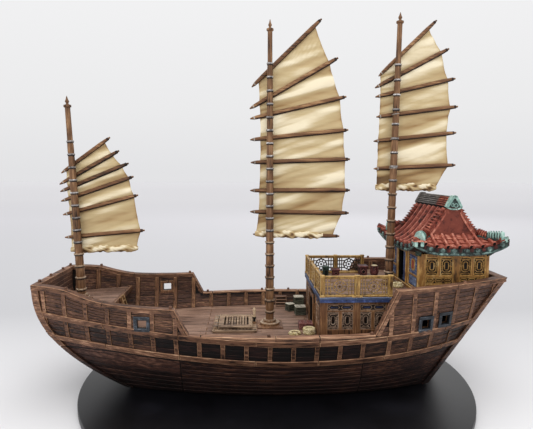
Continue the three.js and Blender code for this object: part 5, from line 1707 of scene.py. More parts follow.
makeRoofBase()
makeSlope("roofTiles_fore", 1)
makeSlope("roofTiles_aft", -1)
makeSkirt("roofSkirt_port", 1)
makeSkirt("roofSkirt_starboard", -1)
makeHips()
makeEaves()
makeRidge()
print("pavilion roof tiled")


# Masts: foot, lean and rings, the same as the solids'
masts = {
    "fore": {
        "x": 234.7, "foot": 97, "top": 348.5, "lean": 0.0459, "footR": 5.3, "topR": 3.1,
        "ringZ": 110.9, "ringStep": 14.6, "ringGrow": 0.05, "rings": 13, "collarZ": 336.6,
    },
    "main": {
        "x": 0, "foot": 62.5, "top": 442, "lean": 0.0035, "footR": 5.4, "topR": 2.9,
        "ringZ": 80.7, "ringStep": 14.5, "ringGrow": 0.045, "rings": 21, "collarZ": 429.9,
    },
    "mizzen": {
        "x": -152.4, "foot": 115.4, "top": 453.2, "lean": -0.0177, "footR": 5.2, "topR": 3.1,
        "ringZ": 130.6, "ringStep": 16.2, "ringGrow": 0.07, "rings": 16, "collarZ": 441.6,
    },
}
# Sails: each spar's fore and aft ends as (x, z), from the yard down, and how far the cloth stops short
sails = {
    "fore": {
        "y": -9.2, "yardR": 2.3, "battenR": 2.5, "seed": 3,
        "spars": [
            {"fore": (258.5, 254.8), "aft": (197.7, 299.3), "luff": 7, "leech": 9},
            {"fore": (261, 241), "aft": (187, 283), "luff": 9.5, "leech": 10},
            {"fore": (260.5, 232), "aft": (175.7, 267.6), "luff": 9, "leech": 9},
            {"fore": (260, 220.1), "aft": (170, 251.2), "luff": 9, "leech": 6.5},
            {"fore": (258.2, 203.2), "aft": (164.9, 228.1), "luff": 8, "leech": 5.5},
            {"fore": (256.8, 174.9), "aft": (157.5, 183.8), "luff": 7.5, "leech": 5.5},
        ],
        "foot": {"fore": (250, 159.4), "aft": (167, 161.2), "radius": 4.6, "clothAft": (168, 161.2)},
    },
    "main": {
        "y": -9.2, "yardR": 2.5, "battenR": 2.7, "seed": 11,
        "spars": [
            {"fore": (23.5, 361.7), "aft": (-62.6, 445.4), "luff": 12, "leech": 11},
            {"fore": (26, 335.4), "aft": (-83.8, 398.9), "luff": 14, "leech": 12},
            {"fore": (25.5, 323.1), "aft": (-95.1, 351.7), "luff": 13, "leech": 8},
            {"fore": (25.5, 297.3), "aft": (-98.3, 310.6), "luff": 13, "leech": 5.5},
            {"fore": (24.8, 269.1), "aft": (-101, 274), "luff": 12, "leech": 5.5},
            {"fore": (25.4, 234.1), "aft": (-101.8, 234.8), "luff": 11.5, "leech": 5.5},
            {"fore": (25.4, 207.3), "aft": (-100.9, 205.7), "luff": 11, "leech": 8.5},
        ],
        "boom": {"fore": (21.7, 178.4), "aft": (-89.7, 175.6)},
        "foot": {"fore": (19, 179.2), "aft": (-68, 177), "radius": 4.8, "clothAft": (-81.5, 179.6)},
    },
    "mizzen": {
        "y": -9.2, "yardR": 2.3, "battenR": 2.6, "seed": 23, "pale": (0.2, -0.26),
        "spars": [
            {"fore": (-134.9, 376.9), "aft": (-206.6, 446.3), "luff": 4, "leech": 13},
            {"fore": (-130.6, 362.6), "aft": (-223.6, 412.1), "luff": 8, "leech": 10},
            {"fore": (-131.3, 351.5), "aft": (-233.1, 375.6), "luff": 7, "leech": 9},
            {"fore": (-133.1, 326.9), "aft": (-237.7, 340.9), "luff": 4.5, "leech": 9},
            {"fore": (-130.5, 296.6), "aft": (-236.7, 308.2), "luff": 6, "leech": 12},
            {"fore": (-131.4, 262), "aft": (-237.3, 267.3), "luff": 4.5, "leech": 9},
        ],
        "foot": {"fore": (-135.2, 238.6), "aft": (-213.6, 238.8), "radius": 5, "clothAft": (-212.6, 238.8)},
    },
}
cloth = {
    "thick": 1.5, "columns": 72, "rows": 18, "fold": 2.1, "billow": 0.8, "battenDepth": 0.75,
    "ringOut": 0.75, "slope": 0.33, "broad": 10, "fine": 3.8,
}
# A spar's ends as (share of its radius, mm from the end)
sparEnds = {
    "tip": [(0, 0), (0.3, 0.6), (0.7, 4.6), (0.86, 4.8), (0.88, 6.0), (0.78, 6.2), (0.86, 7), (1.08, 20)],
    "butt": [
        (0, 0), (0.36, 0.1), (0.46, 0.7), (0.5, 2.4), (0.8, 2.8), (0.86, 5.2), (0.78, 5.4), (0.86, 6),
        (1.08, 16),
    ],
}


def leanOf(mast):
    turn = Matrix.Rotation(mast["lean"], 4, "Y")
    return Matrix.Translation((mast["x"], 0, mast["foot"])) @ turn @ Matrix.Translation((0, 0, -mast["foot"]))


def mastRadius(mast, z, foot):
    return mast["footR"] + (mast["topR"] - mast["footR"]) * (z - foot) / (mast["top"] - foot)


def makeMast(name, mast):
    foot = mast["foot"] + 1.5
    rings = [mast["ringZ"] + i * mast["ringStep"] + i * i * mast["ringGrow"] for i in range(mast["rings"])]
    profile = [(0, foot), (mastRadius(mast, foot, foot) - 0.1, foot)]
    for i, z in enumerate(rings):
        # Sections swell a little between the rings
        if i:
            for t in (0.2, 0.5, 0.8):
                at = rings[i - 1] + t * (z - rings[i - 1])
                profile.append((mastRadius(mast, at, foot) + 0.12 * math.sin(math.pi * t), at))
        groove = mastRadius(mast, z, foot) - 0.3
        profile += [(groove, z - 1.2), (groove, z + 1.2)]
    # Collar and the turned tip over it
    z, tip, top = mast["collarZ"], mast["topR"], mast["top"]
    profile += [(tip, z - 2.6), (tip + 1.3, z - 1.8), (tip + 1.5, z - 0.6), (tip + 1.3, z + 0.5)]
    shape = ((0.62, 1.4), (0.5, 2.4), (0.52, 3.2), (0.8, 4.4), (0.74, 5.4), (0.42, 7.6))
    profile += [(tip * share, z + rise) for share, rise in shape] + [(tip * 0.2, top - 1.6), (0, top)]
    bm = newBm()
    turnedPiece(bm, profile, axis=leanOf(mast), sides=16, tone=0.5)
    for z in rings:
        # A pale band over a dark one, a highlight over its shadow; under the sail the rings are broad and tan
        bare = z < sails[name]["foot"]["fore"][1]
        reach = mastRadius(mast, z, foot) + cloth["ringOut"] + (0.5 if bare else 0.15)
        for low, high, out, face in ((-1.75, -0.35, reach - 0.45, 2), (-0.35, 1.35, reach, 3 if bare else 1)):
            hoop = [
                (reach - 2, z + low), (out - 0.2, z + low), (out, z + low + 0.3), (out, z + high - 0.4),
                (out - 0.3, z + high), (reach - 2, z + high), (reach - 2, z + low),
            ]
            turnedPiece(bm, hoop, axis=leanOf(mast), sides=24, face=face, tone=dice.uniform(-0.5, 1))
    slots = ["mast", "mastRing", "mastShadow", "mastBand"]
    landPiece(f"{name}MastTurned", bm, slots, f"{name}_rig", [f"{name}_mast"], 30)


def makeSpar(bm, spar, y, radius):
    # A round pole, pale above and in painted shade below, with a drawn-out point fore and a blunt capped end
    # aft
    fore, aft = (Vector((spar[end][0], y, spar[end][1])) for end in ("fore", "aft"))
    length = (aft - fore).length
    profile = [(share * radius, z) for share, z in sparEnds["tip"]]
    profile += [(share * radius, length - z) for share, z in reversed(sparEnds["butt"])]
    turn = turnTo(aft - fore)
    matrix = Matrix.Translation(fore) @ Matrix.Scale(cloth["battenDepth"], 4, (0, 1, 0)) @ turn
    shadedSide = turn.inverted() @ Vector((0, 0.35, -1)).normalized()

    def paintAt(point):
        # A grey ferrule; the blunt end's cap is dark, and so is the underside, as painted shade
        if 4.7 < point.z < 6.1:
            return 1
        isButt = length - 5.3 < point.z < length - 2.5
        return 2 if isButt or Vector((point.x, point.y, 0)).normalized().dot(shadedSide) > 0.72 else 0

    turnedPiece(bm, profile, axis=matrix, sides=16, tone=dice.uniform(-0.6, 1), paintAt=paintAt)


def sailPoint(sail, panel, down, across):
    # Across is the share from the luff to the leech; the last panel ends at the foot
    foot, ends = sail["foot"], []
    for row in sail["spars"][panel:panel + 2]:
        fore, aft = Vector(row["fore"]), Vector(row["aft"])
        run = (aft - fore).normalized()
        ends.append((fore + run * row["luff"], aft - run * row["leech"]))
    ends.append((Vector(foot["fore"]) - Vector((1, 0)), Vector(foot["clothAft"])))
    scallop = 1.1 * math.sin(math.pi * down)
    luff = ends[0][0].lerp(ends[1][0], down) + Vector((-scallop * 0.6, 0))
    leech = ends[0][1].lerp(ends[1][1], down) + Vector((scallop, 0))
    return luff.lerp(leech, across)


def foldAt(sail, panel, down, across, point):
    # Creases run from the luff's low corner up toward the leech, broad ones with finer ones near the luff
    x, z = point
    seed = sail["seed"] + panel * 7.3
    slope = cloth["slope"] + 0.16 * noise.noise(Vector((seed, 0, 0)))
    bend = 3 * noise.noise(Vector((x / 60, z / 60, seed)))
    crossing = z + slope * x + bend
    running = x - slope * z
    broad = noise.noise(Vector((crossing / cloth["broad"], running / 120, seed)))
    fine = noise.noise(Vector((crossing / cloth["fine"], running / 55, seed + 5)))
    level = noise.noise(Vector(((z + 0.08 * x) / 6.5, running / 90, seed + 9)))
    held = math.sin(math.pi * min(1, max(0, down))) ** 0.45
    nearLuff = 0.25 + 0.4 * math.exp(-3 * across)
    return held * (1.05 * broad + nearLuff * fine + 0.35 * level)


def makeCloth(name, sail):
    bm = newBm()
    shade = bm.verts.layers.float.new("shade")
    panels = len(sail["spars"])
    rows = panels * cloth["rows"]
    verts = bmesh.ops.create_grid(bm, x_segments=cloth["columns"], y_segments=rows, size=1.0)["verts"]
    reach = max(vert.co.x for vert in verts)
    high, low = sail.get("pale", (0, 0))
    for vert in verts:
        across = (vert.co.x / reach + 1) / 2
        total = min(panels - 1e-6, (1 - (vert.co.y / reach + 1) / 2) * panels)
        panel, down = int(total), total - int(total)
        point = sailPoint(sail, panel, down, across)
        fold = foldAt(sail, panel, down, across, point)
        billow = math.sin(math.pi * down) ** 0.7 * math.sin(math.pi * min(1, max(0, across))) ** 0.4
        # Painted highlights on the folds and painted shade in the creases, a little paler where it billows,
        # darker just above each spar, a painted shadow just under each spar, and darker along the edges
        nearSpar, under = math.exp(-(1 - down) * 11), math.exp(-down * 16)
        edge = math.exp(-min(across, 1 - across) * 70)
        lit = max(0.0, fold) ** 1.3 * 0.8 - max(0.0, -fold) * 0.42
        pale = high + (low - high) * total / panels
        vert[shade] = 0.51 + pale + lit + 0.05 * billow - 0.12 * nearSpar - 0.34 * under - 0.2 * edge
        y = sail["y"] + cloth["thick"] / 2 - 0.2 + cloth["fold"] * fold + cloth["billow"] * billow
        vert.co = Vector((point[0], y, point[1]))
    bmesh.ops.solidify(bm, geom=list(bm.faces), thickness=cloth["thick"])
    landPiece(f"{name}Cloth", bm, ["sail"], f"{name}_rig", [f"{name}_sail"], 60)


def makeFootRoll(name, sail):
    # The foot is rolled up and tied, so it twists like a rope
    foot, seed = sail["foot"], sail["seed"]
    fore, aft = (Vector((foot[end][0], sail["y"] + 0.2, foot[end][1])) for end in ("fore", "aft"))
    length = (aft - fore).length
    bm = newBm()
    shade = bm.verts.layers.float.new("shade")
    steps = int(length * 1.5)
    profile = [(0, 0), *((1, length * k / steps) for k in range(steps + 1)), (0, length)]
    turn = turnTo(aft - fore).to_3x3()
    for vert in turnedPiece(bm, profile, sides=36):
        z = vert.co.z
        along, angle = z / length, math.atan2(vert.co.y, vert.co.x)
        around = Vector((math.cos(angle), math.sin(angle), 0))
        ropeTwist = math.sin(2 * angle + z / 4.1 + 1.6 * noise.noise(Vector((along * 9, 0, seed))))
        wrinkle = noise.noise(Vector((around.x * 1.6, around.y * 1.6 + z / 5.5, z / 8 + seed)))
        tied = 1 - 0.16 * math.exp(-((z % 27) - 13) ** 2 / 3)
        swell = min(1, 4.2 * min(along, 1 - along) + 0.62)
        radius = foot["radius"] * 0.96 * swell * tied * (1 + 0.13 * ropeTwist + 0.26 * wrinkle)
        if vert.co.x ** 2 + vert.co.y ** 2 < 0.2:
            radius = 0
        spun = turn @ (around * radius + Vector((0, 0, z)))
        # Painted highlights on the twist's swells, and painted shade in its hollows and on the underside
        vert[shade] = 0.58 + 0.3 * ropeTwist + 0.6 * wrinkle - 0.5 * max(0.0, -(turn @ around).z)
        vert.co = fore + Vector((spun.x, spun.y * 0.8, spun.z))
    landPiece(f"{name}FootRoll", bm, ["sail"], f"{name}_rig", None, 80)


def makeSpars(name, sail):
    slots = ["spar", "sparTip", "sparUnder"]
    yard, *battens = sail["spars"]
    y = sail["y"] + cloth["thick"] / 2 + sail["battenR"] * 0.54
    bm = newBm()
    for batten in battens:
        makeSpar(bm, batten, y, sail["battenR"])
    landPiece(f"{name}Battens", bm, slots, f"{name}_rig", None, 40)
    bm = newBm()
    makeSpar(bm, yard, y, sail["yardR"])
    landPiece(f"{name}YardPole", bm, slots, f"{name}_rig", [f"{name}_yard"], 40)
    if "boom" in sail:
        bm = newBm()
        makeSpar(bm, sail["boom"], sail["y"] + 0.2, sail["yardR"])
        landPiece("mainBoomPole", bm, slots, "main_rig", ["main_boom"], 40)


def makeParrels(name, mast, battens):
    # Parrel hoops of wire hold the mizzen's lower battens to its mast
    bm = newBm()
    wire = 0.55
    for batten in battens:
        (foreX, foreZ), (aftX, aftZ) = batten["fore"], batten["aft"]

        def battenZ(x):
            return foreZ + (foreX - x) / (foreX - aftX) * (aftZ - foreZ)

        x = mast["x"] + mast["lean"] * (battenZ(mast["x"]) - mast["foot"])
        z = battenZ(x)
        radius = mastRadius(mast, z, mast["foot"])
        tilt = math.atan2(aftZ - foreZ, foreX - aftX)
        angles = [k * math.pi / 4 for k in range(8)]
        hoop = [((radius + 0.35) * (1 + wire / radius * math.cos(a)), wire * math.sin(a)) for a in angles]
        place = Matrix.Translation((x, -1.6, z)) @ Matrix.Rotation(tilt, 4, "Y")
        place = place @ Matrix.Scale(1.32, 4, (0, 1, 0))
        turnedPiece(bm, [*hoop, hoop[0]], axis=place, sides=28, face=0, tone=1)
    landPiece(f"{name}Parrels", bm, ["sparTip"], f"{name}_rig", None, 60)


for name, mast in masts.items():
    makeMast(name, mast)
    makeCloth(name, sails[name])
    makeFootRoll(name, sails[name])
    makeSpars(name, sails[name])
makeParrels("mizzen", masts["mizzen"], sails["mizzen"]["spars"][-3:])
print("masts and sails rigged")


# Hatch with its grating lid and hook post
hatch = {
    "aftX": 17.3, "foreX": 71, "halfY": 31, "low": 62.9, "top": 66,
    "holeAft": 26, "holeFore": 60, "holeY": 20, "teeth": 10, "toothStep": 4.2, "postX": 19.8, "postY": 3,
}
lid = {
    "aftX": 22.4, "foreX": 64.5, "halfY": 26, "low": 66.3, "top": 69.2,
    "gridAft": 27, "gridFore": 58, "gridY": 18, "across": 9, "along": 7,
}
hookPost = [
    (0, 65.6), (2.6, 65.7), (2.5, 67.4), (1.7, 68.4), (1.5, 71), (2.3, 72.4), (2.4, 74.6), (1.6, 75.8),
    (1.5, 79.6), (2.1, 81.6), (2.2, 83.2), (1.5, 85), (0.8, 86), (0, 86.2),
]


def makeHatch():
    bm = newBm()
    h, holeY = hatch, hatch["holeY"]
    for y in ((25.6, h["halfY"]), (holeY, 25.4), (-25.4, -holeY), (-h["halfY"], -25.6)):
        block(bm, (h["aftX"], h["foreX"]), y, (h["low"], h["top"]), 0.5)
    ends = ((h["aftX"] + 0.2, 21.8), (22.0, h["holeAft"]), (h["holeFore"], 65.2), (65.4, h["foreX"] - 0.2))
    for x in ends:
        block(bm, x, about(0, holeY + 0.2), (h["low"], h["top"] - 0.1), 0.4)
    # The ledge fore of the lid, with four cleats
    block(bm, (65.9, 69.4), about(0, 26), (65.6, 69.2), 0.6)
    for y in (-20, -9, 9, 20):
        block(bm, (64.9, 69.7), about(y, 1.6), (68.6, 69.7), 0.3, None, (3, 4))
    # Teeth under the lid's port edge, dark as painted shadow
    for k in range(h["teeth"]):
        x = 24.4 + k * h["toothStep"]
        block(bm, (x, x + 1.9), (25.2, 26.4), (65.95, 66.5), 0.1, None, (2, 2))
    # Nail heads in the corners
    for y in (29, -29):
        for x in (h["aftX"] + 2, h["foreX"] - 2):
            block(bm, about(x, 1), about(y, 1), (h["top"] - 0.3, h["top"] + 0.35), 0.2, None, (2, 2))

    def postPaint(spot):
        # A pale head over a dark middle and a brown foot
        if spot.z > 74:
            return 1
        return 2 if spot.z > 68.4 else 3

    turnedPiece(bm, hookPost, (h["postX"], h["postY"]), sides=16, paintAt=postPaint)
    slots = ["hatchWood", "hatchEdge", "blackPaintAndShade", "spar", "sparTip"]
    landPiece("hatchCoaming", bm, slots, "ship", ["hatch_coaming"])


def makeHatchLid():
    bm = newBm()
    g = lid
    for y in ((g["gridY"], g["halfY"]), (-g["halfY"], -g["gridY"])):
        block(bm, (g["aftX"], g["foreX"]), y, (g["low"], g["top"]), 0.6)
    for x in ((g["aftX"] + 0.1, g["gridAft"]), (g["gridFore"], g["foreX"] - 0.1)):
        block(bm, x, about(0, g["gridY"] + 0.2), (g["low"], g["top"] - 0.15), 0.5)
    # The grating's upper bars run athwartships, and the lower ones fore and aft, dark with painted shade
    for k in range(1, g["across"]):
        x = g["gridAft"] + k * (g["gridFore"] - g["gridAft"]) / g["across"]
        block(bm, about(x, 1.1), about(0, g["gridY"] + 0.3), (g["low"] + 0.4, g["top"] - 0.25), 0.3)
    for k in range(1, g["along"]):
        y = -g["gridY"] + k * 2 * g["gridY"] / g["along"]
        x, z = (g["gridAft"] - 0.2, g["gridFore"] + 0.2), (g["low"] + 0.2, g["top"] - 2.1)
        block(bm, x, about(y, 0.5), z, 0.2, None, (2, 2))
    for x in (g["aftX"] + 2.2, g["foreX"] - 2.2):
        for y in (-22, 0, 22):
            block(bm, about(x, 0.6), about(y, 0.6), (g["top"] - 0.3, g["top"] + 0.25), 0.15, None, (2, 2))
    slots = ["hatchWood", "hatchEdge", "blackPaintAndShade"]
    landPiece("hatchGratingLid", bm, slots, "hatch_lid", ["hatch_grating"])


# Mast steps: half a plate's width, and the radii of the ring and of the collar over it
mastSteps = {
    "main": {"deck": "mainDeck", "plate": 16, "ring": 12.6, "collar": 8.0},
    "fore": {"deck": "foredeck", "plate": 10, "ring": 9, "collar": 7.2},
    "mizzen": {"deck": "upperDeck", "plate": 9, "ring": 8.6, "collar": 7},
}


def makeMastSteps():
    bm = newBm()
    for name, row in mastSteps.items():
        x, floor = masts[name]["x"], levels[row["deck"]]
        plate, ring, collar = row["plate"], row["ring"], row["collar"]
        block(bm, about(x, plate), about(0, plate), (floor + 0.3, floor + 1.35), 0.5, 0)
        for sx in (1, -1):
            for sy in (1, -1):
                ball(bm, (x + sx * (plate - 1.8), sy * (plate - 1.8), floor + 1.3), 0.75, 2, 3)
        rises = [
            (0, 0.6), (ring + 0.1, 0.6), (ring + 0.2, 1.6), (ring - 0.5, 2.2), (ring + 0.1, 3),
            (ring - 0.1, 4.6), (ring - 1.3, 5.3), (collar + 0.2, 5.2), (collar + 0.3, 7.2),
            (collar - 0.4, 8.3), (0, 8.35),
        ]

        def ringPaint(spot):
            # Pale on each upper edge, and painted shade in the recesses
            rise = spot.z - floor
            if 1.9 < rise < 3.0:
                return 4
            return 3 if 4.7 < rise < 5.4 or rise > 7.4 else 2

        profile = [(radius, floor + rise) for radius, rise in rises]
        turnedPiece(bm, profile, (x, 0), sides=36, paintAt=ringPaint)
    landPiece("mastSteps", bm, ["deck", "deckEdge", "mast", "mastBand", "mastShadow"])


ladder = {"foot": (177.1, 0, 62.9), "head": (188.2, 0, 99.2), "railY": (-13.3, -2.7), "rungs": 5}
bulwarkSteps = {"wall": -91.85, "count": 4, "rise": 4, "deep": 6, "growth": 1.6}


def makeLadder():
    bm = newBm()
    foot, head = Vector(ladder["foot"]), Vector(ladder["head"])
    for y in ladder["railY"]:
        off = Vector((0, y, 0))
        bar(bm, foot + off, head + off, 2.4, 1.9, (1, 0, -0.3), 0.3)
    for k in range(ladder["rungs"]):
        spot = foot.lerp(head, 0.15 + 0.17 * k)
        block(bm, (spot.x - 1.0, spot.x + 1.2), (-13.4, -2.6), about(spot.z, 0.8), 0.3)
    landPiece("foredeckLadder", bm, ["mast", "ladderEdge"], "ship", ["foredeck_ladder"])


def makeBulwarkSteps():
    bm = newBm()
    s, floor = bulwarkSteps, levels["mainDeck"] + 0.3
    wall = s["wall"]
    for i in range(s["count"]):
        deep, z = s["deep"] + (s["count"] - 1 - i) * s["growth"], floor + i * s["rise"]
        block(bm, (-29.2, -12.8), (wall + 0.1, wall + deep), (z + 0.5, z + 2.1), 0.4)
        # Dark risers under the treads: painted shade
        block(bm, (-28.6, -13.4), (wall + 0.1, wall + deep - 1.6), (z - 1.6, z + 0.6), 0.2, None, (2, 2))
    for x in (-29, -14.6):
        block(bm, (x, x + 1.6), (wall + 0.1, wall + s["deep"]), (floor, floor + 14), 0.3)
    landPiece("bulwarkSteps", bm, ["deck", "deckEdge", "blackPaintAndShade"], "ship", ["bulwark_steps"])


# Crates, each set by its middle, its size and its turn
crates = {
    "crate_small": {"x": -32, "y": -62, "wide": 10.5, "deep": 10.5, "high": 10.5, "turn": 0.45},
    "crate_low": {"x": -44.2, "y": -45, "wide": 14.4, "deep": 13.6, "high": 11.4, "turn": 0.04},
    "crate_tall": {"x": -46.5, "y": -85, "wide": 14.4, "deep": 13.6, "high": 14.6, "turn": 0},
}


def makeCrate(name, crate):
    # Boards between corner posts, a rim round the foot and the head, and a lid, set up about the origin first
    bm = newBm()
    w, d, h, thirds = crate["wide"] / 2, crate["deep"] / 2, crate["high"], 3
    block(bm, about(0, w - 0.9), about(0, d - 0.9), (0.1, h - 0.5), 0.2, None, (2, 2))
    high = (h - 2) / thirds
    for k in range(thirds):
        block(bm, about(0, w - 0.5), about(0, d - 0.5), (1.15 + k * high, 0.85 + (k + 1) * high), 0.3)
    for sx in (1, -1):
        for sy in (1, -1):
            block(bm, sideSpan(sx, w - 1.9, w), sideSpan(sy, d - 1.9, d), (0.1, h - 0.6))
    for z in ((0.1, 1.6), (h - 1.7, h)):
        for sy in (1, -1):
            block(bm, about(0, w + 0.1), sideSpan(sy, d - 1.7, d + 0.1), z, 0.45)
        for sx in (1, -1):
            block(bm, sideSpan(sx, w - 1.7, w + 0.1), about(0, d), z, 0.45)
    wide = 2 * (d - 1.7) / thirds
    for k in range(thirds):
        y0 = -d + 1.7 + k * wide
        block(bm, about(0, w - 1.6), (y0 + 0.12, y0 + wide - 0.12), (h - 1.4, h - 0.45), 0.25, None, (1, 1))
    bmesh.ops.recalc_face_normals(bm, faces=bm.faces)
    bm.normal_update()
    for f in bm.faces:
        if f.normal.z > 0.7 and f.calc_center_median().z > h - 1.2:
            f.material_index = 3
    place = Matrix.Translation((crate["x"], crate["y"], levels["mainDeck"] + 0.3))
    bm.transform(place @ Matrix.Rotation(crate["turn"], 4, "Z"))
    slots = ["crate", "crateEdge", "blackPaintAndShade", "crateTop"]
    landPiece(name + "Boards", bm, slots, "ship", [name])


def makeChest():
    bm = newBm()
    floor = levels["mainDeck"] + 0.3
    block(bm, (-52.4, -35.8), (8.2, 20.8), (floor + 0.1, floor + 5.4), 0.4)
    block(bm, (-52.9, -35.3), (7.6, 21.4), (floor + 5.3, floor + 8.0), 0.6)
    for x in (-52.2, -44.1, -36.8):
        block(bm, (x - 0.2, x + 1.2), (7.4, 21.6), (floor + 0.1, floor + 8.3), 0.25, 1.0)
    # Flower and leaf relief in the lid's two fields
    top, middle = flat(floor + 8.0), 14.5
    for cx in (-47.4, -39.8):
        outline(bm, top, oval(cx, middle, 2.4, 4.6, 10), 0.7, (-0.2, 0.6), (1, 1))
        outline(bm, top, oval(cx, middle, 0.8, 1.2, 6), 0.7, (-0.2, 0.8), (1, 1))
        for sy in (1, -1):
            start, end = (cx - 2, middle + sy * 5.4), (cx + 2, middle + sy * 5.0)
            strip(bm, top, start, end, 0.6, (-0.2, 0.5), 0.1, None, (1, 1))
    front = onWall("y", 21.2, 1)
    for cx in (-47.6, -40):
        outline(bm, front, oval(cx, floor + 2.8, 2.6, 1.5, 8), 0.6, (-0.8, 0.1), (1, 1))
    landPiece("redChest", bm, ["red", "redEdge"], "ship", ["red_chest"])


# Rope coils: each turn's radius, the height of its middle over the deck, and half the rope's thickness
coils = {
    "rope_coil_flat": {
        "x": -28.4, "y": 36.5, "deck": "mainDeck",
        "turns": [(7.0, 1.0, 1.0), (6.0, 2.2, 1.25), (1.4, 0.9, 1.2)],
    },
    "rope_coil_stack": {
        "x": -46.4, "y": 34.5, "deck": "mainDeck",
        "turns": [
            (7.1, 1.1, 1.1), (6.9, 3.4, 1.1), (7.1, 5.7, 1.15),
            (5.6, 6.1, 1.2), (4.4, 4.2, 1.2), (1.6, 4.0, 1.2),
        ],
    },
    "rope_coil_poop": {
        "x": -158.6, "y": 18.5, "deck": "upperDeck",
        "turns": [
            (6.4, 1.0, 1.15), (4.6, 1.0, 1.1), (6.1, 2.7, 1.1),
            (4.3, 2.8, 1.0), (5.2, 4.4, 1.0), (3.4, 4.4, 0.9),
        ],
    },
}


def ropeTurn(bm, centre, radius, thick, tilt):
    # One turn of laid rope, bent to eight sides; lay is how many strands cross it
    lay, squash, eighth = round(radius * 3.4), 0.95, math.pi / 8
    angles = [k * math.pi / 5 for k in range(11)]
    profile = [(radius + thick * math.cos(a), thick * math.sin(a)) for a in angles]
    verts = turnedPiece(bm, profile, sides=44, tone=dice.uniform(-1, 1))
    phase = dice.uniform(0, 6)
    for vert in verts:
        around = math.atan2(vert.co.y, vert.co.x)
        out = math.hypot(vert.co.x, vert.co.y) - radius
        across = math.atan2(vert.co.z, out)
        strand = math.sin(lay * around + 2 * across + phase)
        swell = 1 + 0.1 * strand
        corner = (around % (2 * eighth)) - eighth
        bend = 1 + 0.8 * (math.cos(eighth) / math.cos(corner) - 1)
        reach = (radius + out * swell) * bend
        spot = Vector((reach * math.cos(around), reach * math.sin(around), vert.co.z * swell * squash))
        spot.z += tilt * reach * math.cos(around + phase)
        vert.co = spot + Vector(centre)
        # Painted shade on each turn's sides, and the wash deep in the lay
        isOuter = abs(across) < 0.5 or abs(across) > 2.6
        for f in vert.link_faces:
            f.material_index = 1 if isOuter or strand < -0.85 else 0


def makeCoils():
    for name, coil in coils.items():
        bm = newBm()
        x, y, foot = coil["x"], coil["y"], levels[coil["deck"]] + 0.3
        # The hole and the gaps between the turns are dark: a core in painted shade
        deep = max(rise for _, rise, _ in coil["turns"])
        inner = coil["turns"][0][0] - 0.6
        core = [(0, foot + 0.2), (inner, foot + 0.2), (inner, foot + deep * 0.8), (0, foot + deep * 0.45)]
        turnedPiece(bm, core, (x, y), face=2)
        for radius, rise, thick in coil["turns"]:
            centre = (x + dice.uniform(-0.3, 0.3), y + dice.uniform(-0.3, 0.3), foot + rise)
            ropeTurn(bm, centre, radius, thick, dice.uniform(-0.02, 0.02))
        landPiece(name + "Rope", bm, ["rope", "ropeLay", "frame"], "ship", [name])


# Seats and tables
redTables = {
    "red_stool": {
        "piece": "redStool", "x": (-99, -87.5), "y": (-54, -43), "low": 7.4, "top": 9.6, "inset": 1.3,
    },
    "low_table": {
        "piece": "lowTable", "x": (-136.5, -123.6), "y": (-52, -38), "low": 13, "top": 15, "inset": 1.4,
    },
}
drum = {
    "x": -146.4, "y": -46, "studRows": (3.4, 6.0, 8.6, 11.2),
    "profile": [
        (0, 0), (4.6, 0), (4.9, 0.8), (4.5, 1.4), (5.5, 4), (5.8, 7), (5.4, 10.2), (4.7, 12), (5.1, 12.6),
        (5.0, 13.6), (4.2, 14.1), (3.9, 14.6), (0, 14.7),
    ],
}


def makeGreenStool():
    bm = newBm()
    floor = levels["roofDeck"] + 0.4
    block(bm, (-84.5, -74.5), (-54, -44), (floor + 10.6, floor + 13), 0.6)
    block(bm, (-83.6, -75.4), (-53.1, -44.9), (floor + 7.8, floor + 10.8), 0.4)
    for x in (-83, -78):
        for y in (-52.5, -47.5):
            block(bm, (x, x + 2), (y, y + 2), (floor, floor + 8), 0.3)
    # A dark block between the legs: painted shade under the seat
    block(bm, (-82.4, -76.6), (-51.9, -46.1), (floor, floor + 8.6), 0.3, None, (2, 2))
    landPiece("greenStool", bm, ["green", "greenEdge", "blackPaintAndShade"], "ship", ["green_stool"])


def makeRedTable(node, row):
    # A top on four legs, with two rows of rails and an oval over a middle in painted shade
    bm = newBm()
    floor, low, inset, leg = levels["roofDeck"] + 0.4, row["low"], row["inset"], 2.0
    x0, x1 = row["x"][0] + inset, row["x"][1] - inset
    y0, y1 = row["y"][0] + inset, row["y"][1] - inset
    block(bm, row["x"], row["y"], (floor + low, floor + row["top"]), 0.6)
    block(bm, (x0 + 0.6, x1 - 0.6), (y0 + 0.6, y1 - 0.6), (floor + 0.1, floor + low + 0.2), 0.2, None, (2, 2))
    for x in (x0, x1 - leg):
        for y in (y0, y1 - leg):
            block(bm, (x, x + leg), (y, y + leg), (floor, floor + low + 0.1), 0.3)
    for share in (0.06, 0.84):
        z = floor + low * share
        block(bm, (x0 + 0.3, x1 - 0.3), (y0 + 0.3, y1 - 0.3), (z, z + low * 0.15), 0.25)
    ring = oval((x0 + x1) / 2, floor + low * 0.52, (x1 - x0) * 0.26, low * 0.22, 8)
    outline(bm, onWall("y", y1, 1), ring, 0.7, (-0.8, 0.15), (1, 1))
    landPiece(row["piece"], bm, ["red", "redEdge", "blackPaintAndShade"], "ship", [node])


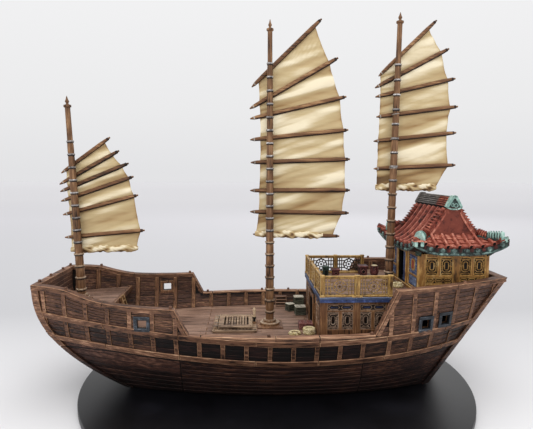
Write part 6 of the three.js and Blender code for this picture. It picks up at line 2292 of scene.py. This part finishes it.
def makeDrumStool():
    bm = newBm()
    x, y, floor = drum["x"], drum["y"], levels["upperDeck"] + 0.35

    def drumPaint(spot):
        return 2 if spot.z > floor + 13.9 else 0

    profile = [(radius, floor + z) for radius, z in drum["profile"]]
    turnedPiece(bm, profile, (x, y), sides=28, paintAt=drumPaint)
    for k in range(8):
        angle = k * math.pi / 4
        for z in drum["studRows"]:
            reach = 5.05 + 0.7 * math.sin(z / 14 * math.pi)
            ball(bm, (x + reach * math.cos(angle), y + reach * math.sin(angle), floor + z), 0.65, 1, 1)
    landPiece("drumStool", bm, ["red", "redEdge", "cream"], "ship", ["drum_stool"])


def makeRudder():
    # Boards and straps over the rudder's blade, square to the raked sternpost
    bm = newBm()
    rake = math.atan(hull["sternSlope"])
    for side in (1, -1):
        def onBlade(s, off, w):
            x = hull["sternFootX"] - s * math.sin(rake) - off * math.cos(rake)
            return Vector((x, side * (1.3 + w), s * math.cos(rake) - off * math.sin(rake)))

        for k in range(3):
            a = 7.4 + k * 3.05
            board(bm, onBlade, (18.2, 97.8), (a, a + 2.85), (-0.4, 0.35), 8, 1, 0.2)
        for s in (24, 52, 88):
            board(bm, onBlade, (s, s + 3.4), (4.6, 16.2), (-0.4, 0.95), 1, 3, 0.3, None, (2, 3))
    slots = ["hull", "hullEdge", "groove", "railEdge"]
    landPiece("rudderBoards", bm, slots, "rudder_blade", None)


def makeDisplayBase():
    bm = newBm()
    rim = [(236.9, -8.3), (237.6, -8), (238, -7.3), (238, -1.3), (237.6, -0.6), (236.9, -0.3)]
    turnedPiece(bm, [(0, -8.3), *rim, (0, -0.3)], (-7.6, 0), sides=192)
    landPiece("displayBoard", bm, ["blackBoard"], "ship", ["display_base"])


paintNode(["rudder"], "groove")
makeHatch()
makeHatchLid()
makeMastSteps()
makeLadder()
makeBulwarkSteps()
for name, crate in crates.items():
    makeCrate(name, crate)
makeChest()
makeCoils()
makeGreenStool()
for node, row in redTables.items():
    makeRedTable(node, row)
makeDrumStool()
makeRudder()
makeDisplayBase()
print("deck gear set")
